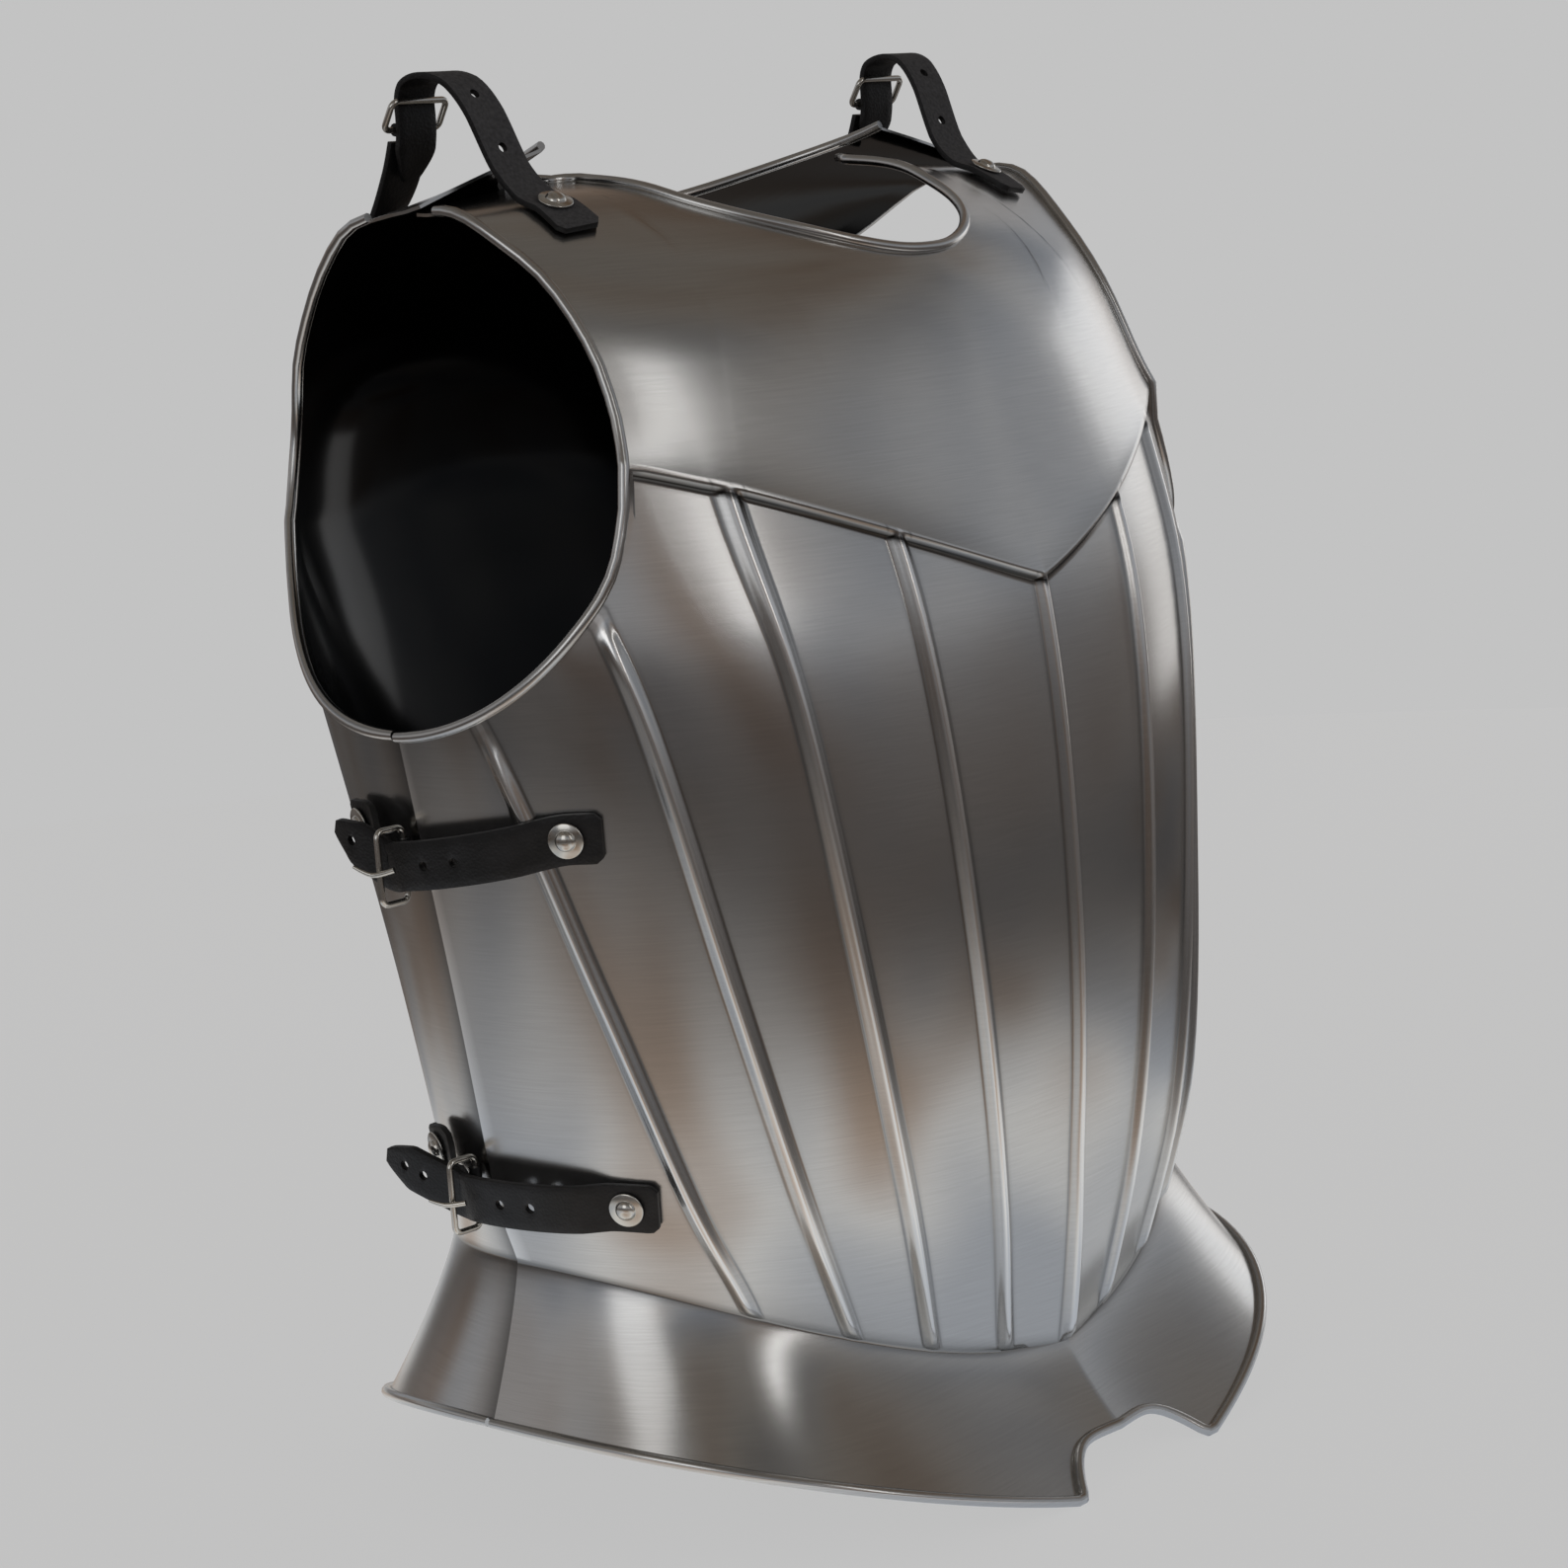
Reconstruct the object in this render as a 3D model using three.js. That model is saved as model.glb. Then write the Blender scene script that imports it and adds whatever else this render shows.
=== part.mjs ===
// Steel cuirass in the late Gothic style: a breastplate and a backplate that buckle together with two
// shoulder straps and two straps on each side.
// Millimetres, +Z up. The wearer faces -Y, and the wearer's right side is at -X. The cuirass stands on
// its skirt: the two points beside the front notch and the middle of the back rim touch the ground.
import * as THREE from 'three';

// ---- driving dimensions ----
const SHEET = 1.2; // thickness of the steel
const LAP_GAP = 0.6; // air between the backplate and the breastplate that laps over it
const STAND_HEIGHT = -6.5; // moves the body so that its lowest points meet the ground
const STAND_DEPTH = 7; // moves the body so that its box is centred

// Horizontal shape of the body at eight levels, from the waist to the top of the shoulder. side is the
// height at the side, and frontDip and backDip are how far the level falls from there to the middle.
// half, front, keel and back are the reach to the side, the front, its ridge and the back, and power is
// how square the front is across.
const LEVELS = [
  { side: 109, frontDip: 58, backDip: 8, half: 160, front: 116, keel: 5, back: 110, power: 2.45 },
  { side: 138, frontDip: 18, backDip: 5, half: 168, front: 134, keel: 2, back: 101, power: 2.35 },
  { side: 215, frontDip: 6, backDip: 2, half: 179, front: 141, keel: 3, back: 112, power: 2.22 },
  { side: 310, frontDip: 2, backDip: -6, half: 194, front: 142, keel: 0, back: 134, power: 2.05 },
  { side: 361, frontDip: -15, backDip: -30, half: 201, front: 130, keel: 0, back: 154, power: 1.85 },
  { side: 427, frontDip: -35, backDip: -24, half: 198, front: 97, keel: 0, back: 140, power: 1.8 },
  { side: 482, frontDip: -10, backDip: -8, half: 195, front: 38, keel: 0, back: 75, power: 1.85 },
  { side: 485, frontDip: -19, backDip: -41, half: 191, front: -18, keel: 0, back: 3, power: 1.9 },
];
const TOP_LEVEL = LEVELS.length - 1;
const FRONT_POWER = 2.25;
const BACK_POWERS = { across: 2.1, deep: 2.15 };
const DIP_POWER = 1.6;

// The flared skirt below the waist, and the two scallops that make the notch at its middle.
const RIM = { half: 178, front: 156, keel: 8, back: 142, side: 56, frontLow: 0, backLow: 7.1 };
const RIM_POWERS = { across: 2.7, deep: 2.2, frontRise: 1.2, backRise: 1.7, flare: 1.25 };
const NOTCH = { angle: 8, cusp: 0.42, scallop: 0.2 };

// Ridges and edges.
const ROLL_RADIUS = 2.8;
const RIB = { halfWidth: 3.6, height: 2.4 };
const CHEVRON = { tip: 343.5, rise: 68, reach: 174, power: 1.08, height: 3 };
const ARMHOLE = { y: 30, z: 409, long: 123, short: 94, tilt: 31 };
const FRONT_NECK = { y: -6, half: 80, depth: -92 };
const BACK_NECK = { y: -6, half: 100, depth: 92 };

// Reach of each plate's armhole edge above its corner, on the way to the end of the shoulder tab.
const SHOULDER_EDGE = [
  { part: 0.1, front: 144, back: 117 },
  { part: 0.25, front: 145, back: 120 },
  { part: 0.42, front: 147, back: 134 },
  { part: 0.58, front: 153, back: 152 },
  { part: 0.72, front: 155, back: 159 },
  { part: 0.86, front: 153, back: 160 },
  { part: 1, front: 152, back: 160 },
];

// The keel, the four ribs beside it and the side seam: angle round the body in degrees at the waist and
// at the chest, and how far the line bows between them.
const CHEST_LEVEL = 4;
const FRONT_LINES = [
  { waist: 0, chest: 0, bow: 0 },
  { waist: 7.3, chest: 20.5, bow: 0.8 },
  { waist: 18.7, chest: 38, bow: 2.5 },
  { waist: 31.3, chest: 58.6, bow: 3.4 },
  { waist: 47.5, chest: 86, bow: 0 },
  { waist: 90, chest: 90, bow: 0 },
];
const BACK_SPLIT_LEVEL = 3.9; // the backplate's columns change here from the side to the shoulder
const BACK_REACH = 94; // degrees from the middle of the back to the edge tucked under the front
const TUCK_ANGLE = 91; // the backplate's rolled edges stop here, clear of the lap

// ---- the body's surface ----
const radians = (degrees) => (degrees * Math.PI) / 180;

function levelValue(name, level) {
  const start = Math.min(Math.max(Math.floor(level), 0), TOP_LEVEL - 1);
  const value = (row) => {
    if (row < 0) return 2 * LEVELS[0][name] - LEVELS[1][name];
    if (row > TOP_LEVEL) return 2 * LEVELS[TOP_LEVEL][name] - LEVELS[TOP_LEVEL - 1][name];
    return LEVELS[row][name];
  };
  const [a, b, c, d] = [-1, 0, 1, 2].map((step) => value(start + step));
  const t = level - start;
  return b + 0.5 * t * (c - a + t * (2 * a - 5 * b + 4 * c - d + t * (3 * (b - c) + d - a)));
}

// angle runs from 0 at the middle of the front through 90 at the side to 180 at the middle of the back
function bodyPoint(angle, level) {
  const isFront = angle <= 90;
  const powers = isFront
    ? { across: levelValue('power', level), deep: FRONT_POWER }
    : BACK_POWERS;
  const across = Math.sin(radians(angle)) ** (2 / powers.across);
  const deep = Math.abs(Math.cos(radians(angle))) ** (2 / powers.deep);
  const front = -levelValue('front', level) * deep - levelValue('keel', level) * (1 - across);
  const dip = levelValue(isFront ? 'frontDip' : 'backDip', level);
  return new THREE.Vector3(
    levelValue('half', level) * across,
    isFront ? front : levelValue('back', level) * deep,
    levelValue('side', level) - dip * (1 - across ** DIP_POWER),
  );
}

function rimPoint(angle) {
  const isFront = angle <= 90;
  const across = Math.sin(radians(angle)) ** (2 / RIM_POWERS.across);
  const deep = Math.abs(Math.cos(radians(angle))) ** (2 / RIM_POWERS.deep);
  const low = isFront ? RIM.frontLow : RIM.backLow;
  const rise = across ** (isFront ? RIM_POWERS.frontRise : RIM_POWERS.backRise);
  return new THREE.Vector3(
    RIM.half * across,
    isFront ? -RIM.front * deep - RIM.keel * (1 - across) : RIM.back * deep,
    low + (RIM.side - low) * rise,
  );
}

// drop runs from 0 at the waist to 1 at the rim
function skirtPoint(angle, drop) {
  const waist = bodyPoint(angle, 0);
  const rim = rimPoint(angle);
  const out = drop ** RIM_POWERS.flare;
  return new THREE.Vector3(
    THREE.MathUtils.lerp(waist.x, rim.x, out),
    THREE.MathUtils.lerp(waist.y, rim.y, out),
    THREE.MathUtils.lerp(waist.z, rim.z, drop),
  );
}

// how far down the skirt goes at an angle: the whole way, or less inside the notch
function skirtReach(angle) {
  if (angle >= NOTCH.angle) return 1;
  const along = angle / NOTCH.angle;
  return 1 - NOTCH.cusp * (1 - along) - NOTCH.scallop * 4 * along * (1 - along) * (0.4 + 0.6 * along);
}

// height is the level on the body, or from 0 down to -1 on the skirt
function surfaceAt(angle, height) {
  return height < 0 ? skirtPoint(angle, -height) : bodyPoint(angle, height);
}

function surfaceNormal(angle, height) {
  const low = THREE.MathUtils.clamp(angle, 1.5, 178.5);
  const round = surfaceAt(low + 1, height).sub(surfaceAt(low - 1, height));
  const top = Math.min(height + 0.02, TOP_LEVEL);
  const up = surfaceAt(low, top).sub(surfaceAt(low, top - 0.06));
  const normal = round.cross(up).normalize();
  if (angle < 0.1 || angle > 179.9) normal.setX(0).normalize();
  return normal;
}

// ---- openings ----
// negative inside the armhole, a tilted oval seen from the side
function armholeValue(point) {
  const tilt = radians(ARMHOLE.tilt);
  const dy = point.y - ARMHOLE.y;
  const dz = point.z - ARMHOLE.z;
  const along = (dy * Math.cos(tilt) + dz * Math.sin(tilt)) / ARMHOLE.long;
  const across = (dz * Math.cos(tilt) - dy * Math.sin(tilt)) / ARMHOLE.short;
  return along ** 2 + across ** 2 - 1;
}

const chevronHeight = (x) => CHEVRON.tip + CHEVRON.rise * (Math.abs(x) / CHEVRON.reach) ** CHEVRON.power;

// the place between low and high where a rising or falling function passes zero
function root(value, low, high) {
  const lowSign = Math.sign(value(low));
  for (let step = 0; step < 40; step += 1) {
    const middle = (low + high) / 2;
    if (Math.sign(value(middle)) === lowSign) low = middle;
    else high = middle;
  }
  return (low + high) / 2;
}

// ---- the two plates, each as half of a sheet in columns ----
const frontAngle = (column, level) => {
  const t = level / CHEST_LEVEL;
  const at = ({ waist, chest, bow }) => waist + (chest - waist) * t + 4 * bow * t * (1 - t);
  const left = Math.min(Math.floor(column), FRONT_LINES.length - 2);
  return THREE.MathUtils.lerp(at(FRONT_LINES[left]), at(FRONT_LINES[left + 1]), column - left);
};

// how far the sheet is raised: along a rib, and along the chevron at the top of the body's columns
function frontRelief({ line, shift }, part) {
  const isRib = shift === 0 && Number.isInteger(line) && line < BREASTPLATE.lastLine;
  if (part === 0) return 0;
  if (part === 1) return line < 2.5 ? CHEVRON.height : 0;
  return isRib && part > 0.02 ? RIB.height : 0;
}

const BREASTPLATE = {
  side: 'front',
  inset: 0,
  neck: FRONT_NECK,
  angleOf: frontAngle,
  aboveSplit: (point) => point.z - chevronHeight(point.x),
  lastLine: FRONT_LINES.length - 1,
  middle: 0,
  columns: frontColumns,
  relief: frontRelief,
};
const BACKPLATE = {
  side: 'back',
  inset: SHEET + LAP_GAP,
  neck: BACK_NECK,
  angleOf: (column) => 180 - column * BACK_REACH,
  aboveSplit: (point, level) => level - BACK_SPLIT_LEVEL,
  lastLine: 1,
  middle: 180,
  columns: backColumns,
  relief: () => 0,
};

// A column climbs the plate along a line, or at a shift of some mm beside it for the foot of a rib.
function columnAngle(plate, { line, shift }, level) {
  const angle = plate.angleOf(line, level);
  if (!shift) return angle;
  return angle + shift / bodyPoint(angle, level).distanceTo(bodyPoint(Math.abs(angle - 1), level));
}

// the level where a column meets the split line or the armhole, and which of the two it meets
function columnEnd(plate, column) {
  const pointAt = (level) => bodyPoint(columnAngle(plate, column, level), level);
  const split = (level) => plate.aboveSplit(pointAt(level), level);
  const hole = (level) => -armholeValue(pointAt(level));
  const ends = [split, hole].map((value) => {
    for (let level = 1.5; level < TOP_LEVEL; level += 0.1) {
      if (value(level + 0.1) > 0) return root(value, level, level + 0.1);
    }
    return TOP_LEVEL;
  });
  return { level: Math.min(...ends), meetsHole: ends[1] < ends[0] };
}

// the line that ends in the corner between the split line and the armhole
function cornerLine(plate) {
  let low = 0;
  let high = plate.lastLine;
  for (let step = 0; step < 30; step += 1) {
    const line = (low + high) / 2;
    if (columnEnd(plate, { line, shift: 0 }).meetsHole) high = line;
    else low = line;
  }
  return high;
}

function angleAtReach(plate, x, level) {
  const power = plate.middle === 0 ? levelValue('power', level) : BACK_POWERS.across;
  const angle = (Math.asin(Math.min((x / levelValue('half', level)) ** (power / 2), 1)) * 180) / Math.PI;
  return Math.abs(plate.middle - angle);
}

// the place on the upper part of a plate that lies over x and y, seen from above
function placeOver(plate, x, y) {
  const gap = (level) => bodyPoint(angleAtReach(plate, x, level), level).y - y;
  const level = root(gap, BACK_SPLIT_LEVEL, TOP_LEVEL);
  return { angle: angleAtReach(plate, x, level), level };
}

// the rim of the neck opening from above: turn is 0 at the middle of the plate and 90 at the side
function neckTarget(plate, turn) {
  const { y, half, depth } = plate.neck;
  return { x: Math.sin(radians(turn)) * half, y: y + Math.cos(radians(turn)) * depth };
}

function neckPlace(plate, turn) {
  const { x, y } = neckTarget(plate, turn);
  return placeOver(plate, x, y);
}

// the turn at which the neck opening runs out of the end of the shoulder tab
function neckEndTurn(plate) {
  const beyond = (turn) => {
    const { x, y } = neckTarget(plate, turn);
    return bodyPoint(angleAtReach(plate, x, TOP_LEVEL), TOP_LEVEL).y - y;
  };
  return root(beyond, 30, 150);
}

// the reach of the armhole's edge at a part of the way from the corner to the end of the tab
function shoulderReach(plate, cornerReach, part) {
  const stops = [{ part: 0, [plate.side]: cornerReach }, ...SHOULDER_EDGE];
  const next = Math.max(stops.findIndex((stop) => stop.part >= part), 1);
  const [from, to] = [stops[next - 1], stops[next]];
  return THREE.MathUtils.mapLinear(part, from.part, to.part, from[plate.side], to[plate.side]);
}

function frontColumns(corner) {
  const plain = (line) => ({ line, shift: 0 });
  const rib = (line) => [-1, 0, 1].map((side) => ({ line, shift: side * RIB.halfWidth }));
  return [
    ...rib(0).slice(1), plain(0.35), plain(0.7), ...rib(1), plain(1.5), ...rib(2), plain(corner), plain(2.72),
    ...rib(3), plain(3.5), ...rib(4), plain(4.45), plain(4.85), plain(BREASTPLATE.lastLine),
  ];
}

function backColumns(corner) {
  const tuck = (180 - TUCK_ANGLE) / BACK_REACH;
  const evenly = (from, to, count) => (
    Array.from({ length: count }, (_, i) => from + ((to - from) * i) / count)
  );
  return [...evenly(0, corner, 7), ...evenly(corner, tuck, 7), tuck, 1].map((line) => ({ line, shift: 0 }));
}

// ---- a plate as one sheet: sites on the surface, joined by quads, for the side at +X ----
const BODY_ROWS = [0, 0.03, 0.15, 0.29, 0.43, 0.57, 0.71, 0.85, 0.96, 1];
const SKIRT_ROWS = [0.35, 0.7, 1];
const SHOULDER_ROWS = [0.08, 0.25, 0.42, 0.58, 0.72, 0.86, 1];

function halfSheet(plate) {
  const sites = [];
  const quads = [];
  const addSite = (angle, height, relief = 0, flags = {}) => {
    const direction = surfaceNormal(angle, height);
    if (height === 0) direction.add(surfaceNormal(angle, -0.1)).normalize();
    const point = surfaceAt(angle, height).addScaledVector(direction, relief - plate.inset);
    sites.push({ point, direction, ...flags });
    return sites.length - 1;
  };
  const join = (grid) => {
    for (let row = 1; row < grid.length; row += 1) {
      for (let i = 1; i < grid[row].length; i += 1) {
        const quad = [grid[row - 1][i - 1], grid[row - 1][i], grid[row][i], grid[row][i - 1]];
        quads.push(plate.middle === 0 ? quad : quad.reverse());
      }
    }
  };

  const corner = cornerLine(plate);
  const columns = plate.columns(corner);
  const last = columns.length - 1;
  const ends = columns.map((column) => columnEnd(plate, column).level);
  const flagsOf = (i, angle) => ({
    middle: i === 0,
    seam: i === last,
    tuck: plate.middle === 180 && angle < TUCK_ANGLE + 0.01,
  });

  const body = BODY_ROWS.map((part) => columns.map((column, i) => {
    const level = ends[i] * part;
    const angle = columnAngle(plate, column, level);
    return addSite(angle, level, plate.relief(column, part), flagsOf(i, angle));
  }));
  join(body);

  const skirt = SKIRT_ROWS.map((part) => columns.map((column, i) => {
    const angle = columnAngle(plate, column, 0);
    const drop = part * (plate.middle === 0 ? skirtReach(angle) : 1);
    return addSite(angle, -drop, 0, { ...flagsOf(i, angle), rim: part === 1 });
  }));
  join([...skirt.reverse(), body[0]]);

  const cornerIndex = columns.findIndex(({ line }) => line === corner);
  const low = columns.slice(0, cornerIndex + 1).map((column, i) => (
    { angle: columnAngle(plate, column, ends[i]), level: ends[i] }));
  const high = shoulderTop(plate, cornerIndex);
  const cornerLevel = ends[cornerIndex];
  const cornerReach = bodyPoint(low[cornerIndex].angle, cornerLevel).x;
  const shoulder = SHOULDER_ROWS.map((part) => low.map((start, i) => {
    const along = i / cornerIndex;
    const edgeLevel = THREE.MathUtils.lerp(cornerLevel, TOP_LEVEL, part);
    const edgeAngle = angleAtReach(plate, shoulderReach(plate, cornerReach, part), edgeLevel);
    const isUnderLap = plate.middle === 0 && i === cornerIndex && part > 0.85;
    const mix = (name, edge) => {
      const rise = THREE.MathUtils.lerp(start[name], high[i][name], part);
      const side = THREE.MathUtils.lerp(low[cornerIndex][name], high[cornerIndex][name], part);
      return rise + along * (edge - side);
    };
    const place = part === 1
      ? high[i]
      : { angle: mix('angle', edgeAngle), level: mix('level', edgeLevel) };
    const isTab = isUnderLap || (part === 1 && high[i].tab);
    return addSite(place.angle, place.level, 0, { middle: i === 0, tab: isTab });
  }));
  join([body[body.length - 1].slice(0, cornerIndex + 1), ...shoulder]);
  return { sites, quads };
}

// the top edge of the shoulder part: along the neck opening, then along the end of the tab
function shoulderTop(plate, count) {
  const neckCount = Math.round(count * 0.7);
  const endTurn = neckEndTurn(plate);
  const neck = Array.from({ length: neckCount + 1 }, (_, i) => (
    { ...neckPlace(plate, (endTurn * i) / neckCount), tab: i === neckCount }));
  const from = neck[neckCount].angle;
  const to = angleAtReach(plate, SHOULDER_EDGE[SHOULDER_EDGE.length - 1][plate.side], TOP_LEVEL);
  const tabCount = count - neckCount;
  const tab = Array.from({ length: tabCount }, (_, i) => (
    { angle: from + ((to - from) * (i + 1)) / tabCount, level: TOP_LEVEL, tab: true }));
  return [...neck, ...tab];
}

// ---- from a half sheet to a closed solid with rolled edges ----
const ROLL_TURNS = [185, 130, 75, 20, -35, -90]; // round the roll, from its lip to the inner face

function wholeSheet({ sites, quads }) {
  const mirrored = sites.map((site, i) => (site.middle ? i : null));
  const all = [...sites];
  sites.forEach((site, i) => {
    if (site.middle) return;
    const flip = new THREE.Vector3(-1, 1, 1);
    mirrored[i] = all.length;
    all.push({
      ...site,
      point: site.point.clone().multiply(flip),
      direction: site.direction.clone().multiply(flip),
    });
  });
  const other = quads.map((quad) => quad.map((id) => mirrored[id]).reverse());
  return { sites: all, quads: [...quads, ...other] };
}

function sheetSolid(plate) {
  const { sites, quads } = wholeSheet(halfSheet(plate));
  const vertices = [];
  const faces = [];
  const addVertex = (point) => {
    vertices.push(point.x, point.y + STAND_DEPTH, Math.max(point.z + STAND_HEIGHT, 0));
    return vertices.length / 3 - 1;
  };
  const outer = sites.map(({ point }) => addVertex(point));
  const below = ({ point, direction }) => point.clone().addScaledVector(direction, -SHEET);
  const inner = sites.map((site) => addVertex(below(site)));
  const addQuad = (a, b, c, d) => faces.push(a, b, c, a, c, d);
  const outline = new Map();
  quads.forEach((quad) => quad.forEach((id, i) => {
    const next = quad[(i + 1) % 4];
    outline.set(`${id} ${next}`, [id, next]);
  }));
  quads.forEach(([a, b, c, d]) => {
    addQuad(outer[a], outer[b], outer[c], outer[d]);
    addQuad(inner[d], inner[c], inner[b], inner[a]);
  });
  const edges = [...outline.values()].filter(([a, b]) => !outline.has(`${b} ${a}`));
  const isPlain = ([a, b]) => ['seam', 'tab', 'tuck'].some((flag) => sites[a][flag] && sites[b][flag]);

  const rolled = edges.filter((edge) => !isPlain(edge));
  const along = sites.map(() => []);
  rolled.forEach(([a, b]) => {
    const step = sites[b].point.clone().sub(sites[a].point).normalize();
    along[a].push(step);
    along[b].push(step);
  });
  const rings = new Map();
  along.forEach((steps, id) => {
    if (steps.length === 0) return;
    const { point, direction } = sites[id];
    const tangent = steps.reduce((sum, step) => sum.add(step), new THREE.Vector3());
    const miter = Math.min(steps.length / Math.max(tangent.length(), 0.01), 1.5);
    const out = tangent.cross(direction).normalize().multiplyScalar(miter);
    rings.set(id, [outer[id], ...ROLL_TURNS.map((turn) => addVertex(point.clone()
      .addScaledVector(out, ROLL_RADIUS * (0.9 + Math.cos(radians(turn))))
      .addScaledVector(direction, ROLL_RADIUS * (1 + Math.sin(radians(turn))) - SHEET))), inner[id]]);
  });
  edges.forEach(([a, b]) => {
    if (isPlain([a, b])) {
      addQuad(outer[b], outer[a], inner[a], inner[b]);
      return;
    }
    const ringA = rings.get(a);
    const ringB = rings.get(b);
    for (let i = 1; i < ringA.length; i += 1) addQuad(ringB[i - 1], ringA[i - 1], ringA[i], ringB[i]);
  });
  rings.forEach((ring, id) => {
    if (along[id].length === 2) return;
    const startsHere = rolled.some(([a]) => a === id);
    for (let i = 1; i < ring.length - 1; i += 1) {
      faces.push(...(startsHere ? [ring[0], ring[i + 1], ring[i]] : [ring[0], ring[i], ring[i + 1]]));
    }
  });
  const geometry = new THREE.BufferGeometry();
  geometry.setAttribute('position', new THREE.Float32BufferAttribute(vertices, 3));
  geometry.setIndex(faces);
  return geometry;
}

// ---- straps, buckles and rivets, for the wearer's left side at +X ----
const LEATHER = { width: 18, thickness: 2.2 };
const FRAME = { width: 29, depth: 14, bar: 2.4 };
const PRONG_RADIUS = 1.1;
const RIVET = { washer: 6.5, head: 3.6, height: 3.2 };
const ON_FRONT = 2.1; // from the breastplate to the middle of leather that lies on it
const ON_BACK = 0.9; // the same for the backplate, measured from the breastplate's surface
const ABOVE = LEATHER.thickness / 2 + 0.5; // from the middle of a piece of leather to what lies on it

// a place on the body, off its surface by some mm, with the surface's normal there
function bodyPlace(angle, level, off) {
  const normal = surfaceNormal(angle, level);
  return { point: surfaceAt(angle, level).addScaledVector(normal, off), normal };
}

// Side straps: stops along the strap and its chape, from front to back, by angle and distance off the
// breastplate's surface. A strap hangs down by some levels towards its buckle, its free end rises again
// with each degree, and the chape rises on its way to its rivet.
const SIDE_STRAP = [
  { turn: -27.5, off: ON_FRONT }, { turn: -22.5, off: ON_FRONT }, { turn: -19.8, off: 2.7 },
  { turn: -16, off: 6.6 }, { turn: -10, off: 9 }, { turn: -3, off: 10 }, { turn: 1, off: 9.6 },
  { turn: 3, off: 8.8 }, { turn: 5.5, off: 9.8 },
];
const SIDE_CHAPE = [
  { turn: 7, off: 3.8 }, { turn: 8.4, off: 2.7 }, { turn: 10, off: ON_BACK }, { turn: 13, off: ON_BACK },
  { turn: 16, off: ON_BACK },
];
const SIDE_SETS = [
  {
    name: 'upper', level: 2.6, hang: 0.1, chapeRise: 0.11, chapeLift: 0.9,
    tip: [{ turn: 9, off: 12 }, { turn: 12, off: 13 }],
  },
  {
    name: 'lower', level: 1.02, hang: 0, chapeRise: 0.2, chapeLift: 1.7,
    tip: [{ turn: 9, off: 12.4 }, { turn: 13, off: 16 }, { turn: 17, off: 20 }],
  },
];
const TIP_RISE = 0.016;
const SIDE_FRAME = { turn: 3, off: 8.4 };
const SIDE_PRONG = [{ turn: 0.4, off: 13.6 }, { turn: 3, off: 17.8 }, { turn: 5.2, off: 20.6 }];
const SIDE_RIVETS = { front: -22.7, back: 13.3 };

// Shoulder straps: the same stops as x, y and z. Those with no z lie on a plate.
const SHOULDER_STRAP = [
  { x: 124, y: -42 }, { x: 122.5, y: -28 }, { x: 122.5, y: -19 }, { x: 124, y: -9, z: 505 },
  { x: 126, y: -1, z: 524 }, { x: 128, y: 8, z: 536 }, { x: 130, y: 19, z: 539.5 },
  { x: 130, y: 28.3, z: 537 }, { x: 130, y: 30.8, z: 532 }, { x: 130, y: 31, z: 526 },
  { x: 130, y: 31.4, z: 519.5 }, { x: 130, y: 33.5, z: 511 }, { x: 130, y: 38, z: 502.5 },
];
const SHOULDER_CHAPE = [
  { x: 130, y: 36.4, z: 517 }, { x: 130, y: 41, z: 506 }, { x: 130, y: 52 }, { x: 130, y: 68 },
];
const SHOULDER_RIVETS = { front: { x: 122.5, y: -28 }, back: { x: 130, y: 60 } };
const SHOULDER_FRAME = { x: 130, y: 31, z: 526 };
const SHOULDER_LEG = new THREE.Vector3(0, 0.54, -0.84); // the way the frame lies, down to the back

// a strip of leather along places, with its width along across and flat to the normals of the plates,
// and its two ends drawn in to tips of its width
function ribbon(places, across, tips) {
  const curve = new THREE.CatmullRomCurve3(places.map(({ point }) => point), false, 'centripetal');
  const sides = places.map(({ normal }) => across.clone().addScaledVector(normal, -across.dot(normal)));
  const turning = new THREE.CatmullRomCurve3(sides);
  const count = places.length * 2;
  const vertices = [];
  const faces = [];
  for (let i = 0; i <= count; i += 1) {
    const tangent = curve.getTangent(i / count);
    const side = turning.getPoint(i / count);
    side.addScaledVector(tangent, -side.dot(tangent)).normalize();
    const up = tangent.clone().cross(side);
    const tip = [tips[0], 1, tips[1]][Math.sign(i) + Math.floor(i / count)];
    [[-1, -1], [1, -1], [1, 1], [-1, 1]].forEach(([a, b]) => {
      vertices.push(...curve.getPoint(i / count)
        .addScaledVector(side, (a * tip * LEATHER.width) / 2)
        .addScaledVector(up, (b * LEATHER.thickness) / 2).toArray());
    });
    if (i > 0) {
      const now = i * 4;
      [0, 1, 2, 3].forEach((k) => {
        const [a, b] = [now + k, now + ((k + 1) % 4)];
        faces.push(a - 4, b - 4, b, a - 4, b, a);
      });
    }
  }
  const end = count * 4;
  faces.push(0, 2, 1, 0, 3, 2, end, end + 1, end + 2, end, end + 2, end + 3);
  const geometry = new THREE.BufferGeometry();
  geometry.setAttribute('position', new THREE.Float32BufferAttribute(vertices, 3));
  geometry.setIndex(faces);
  return geometry;
}

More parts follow.
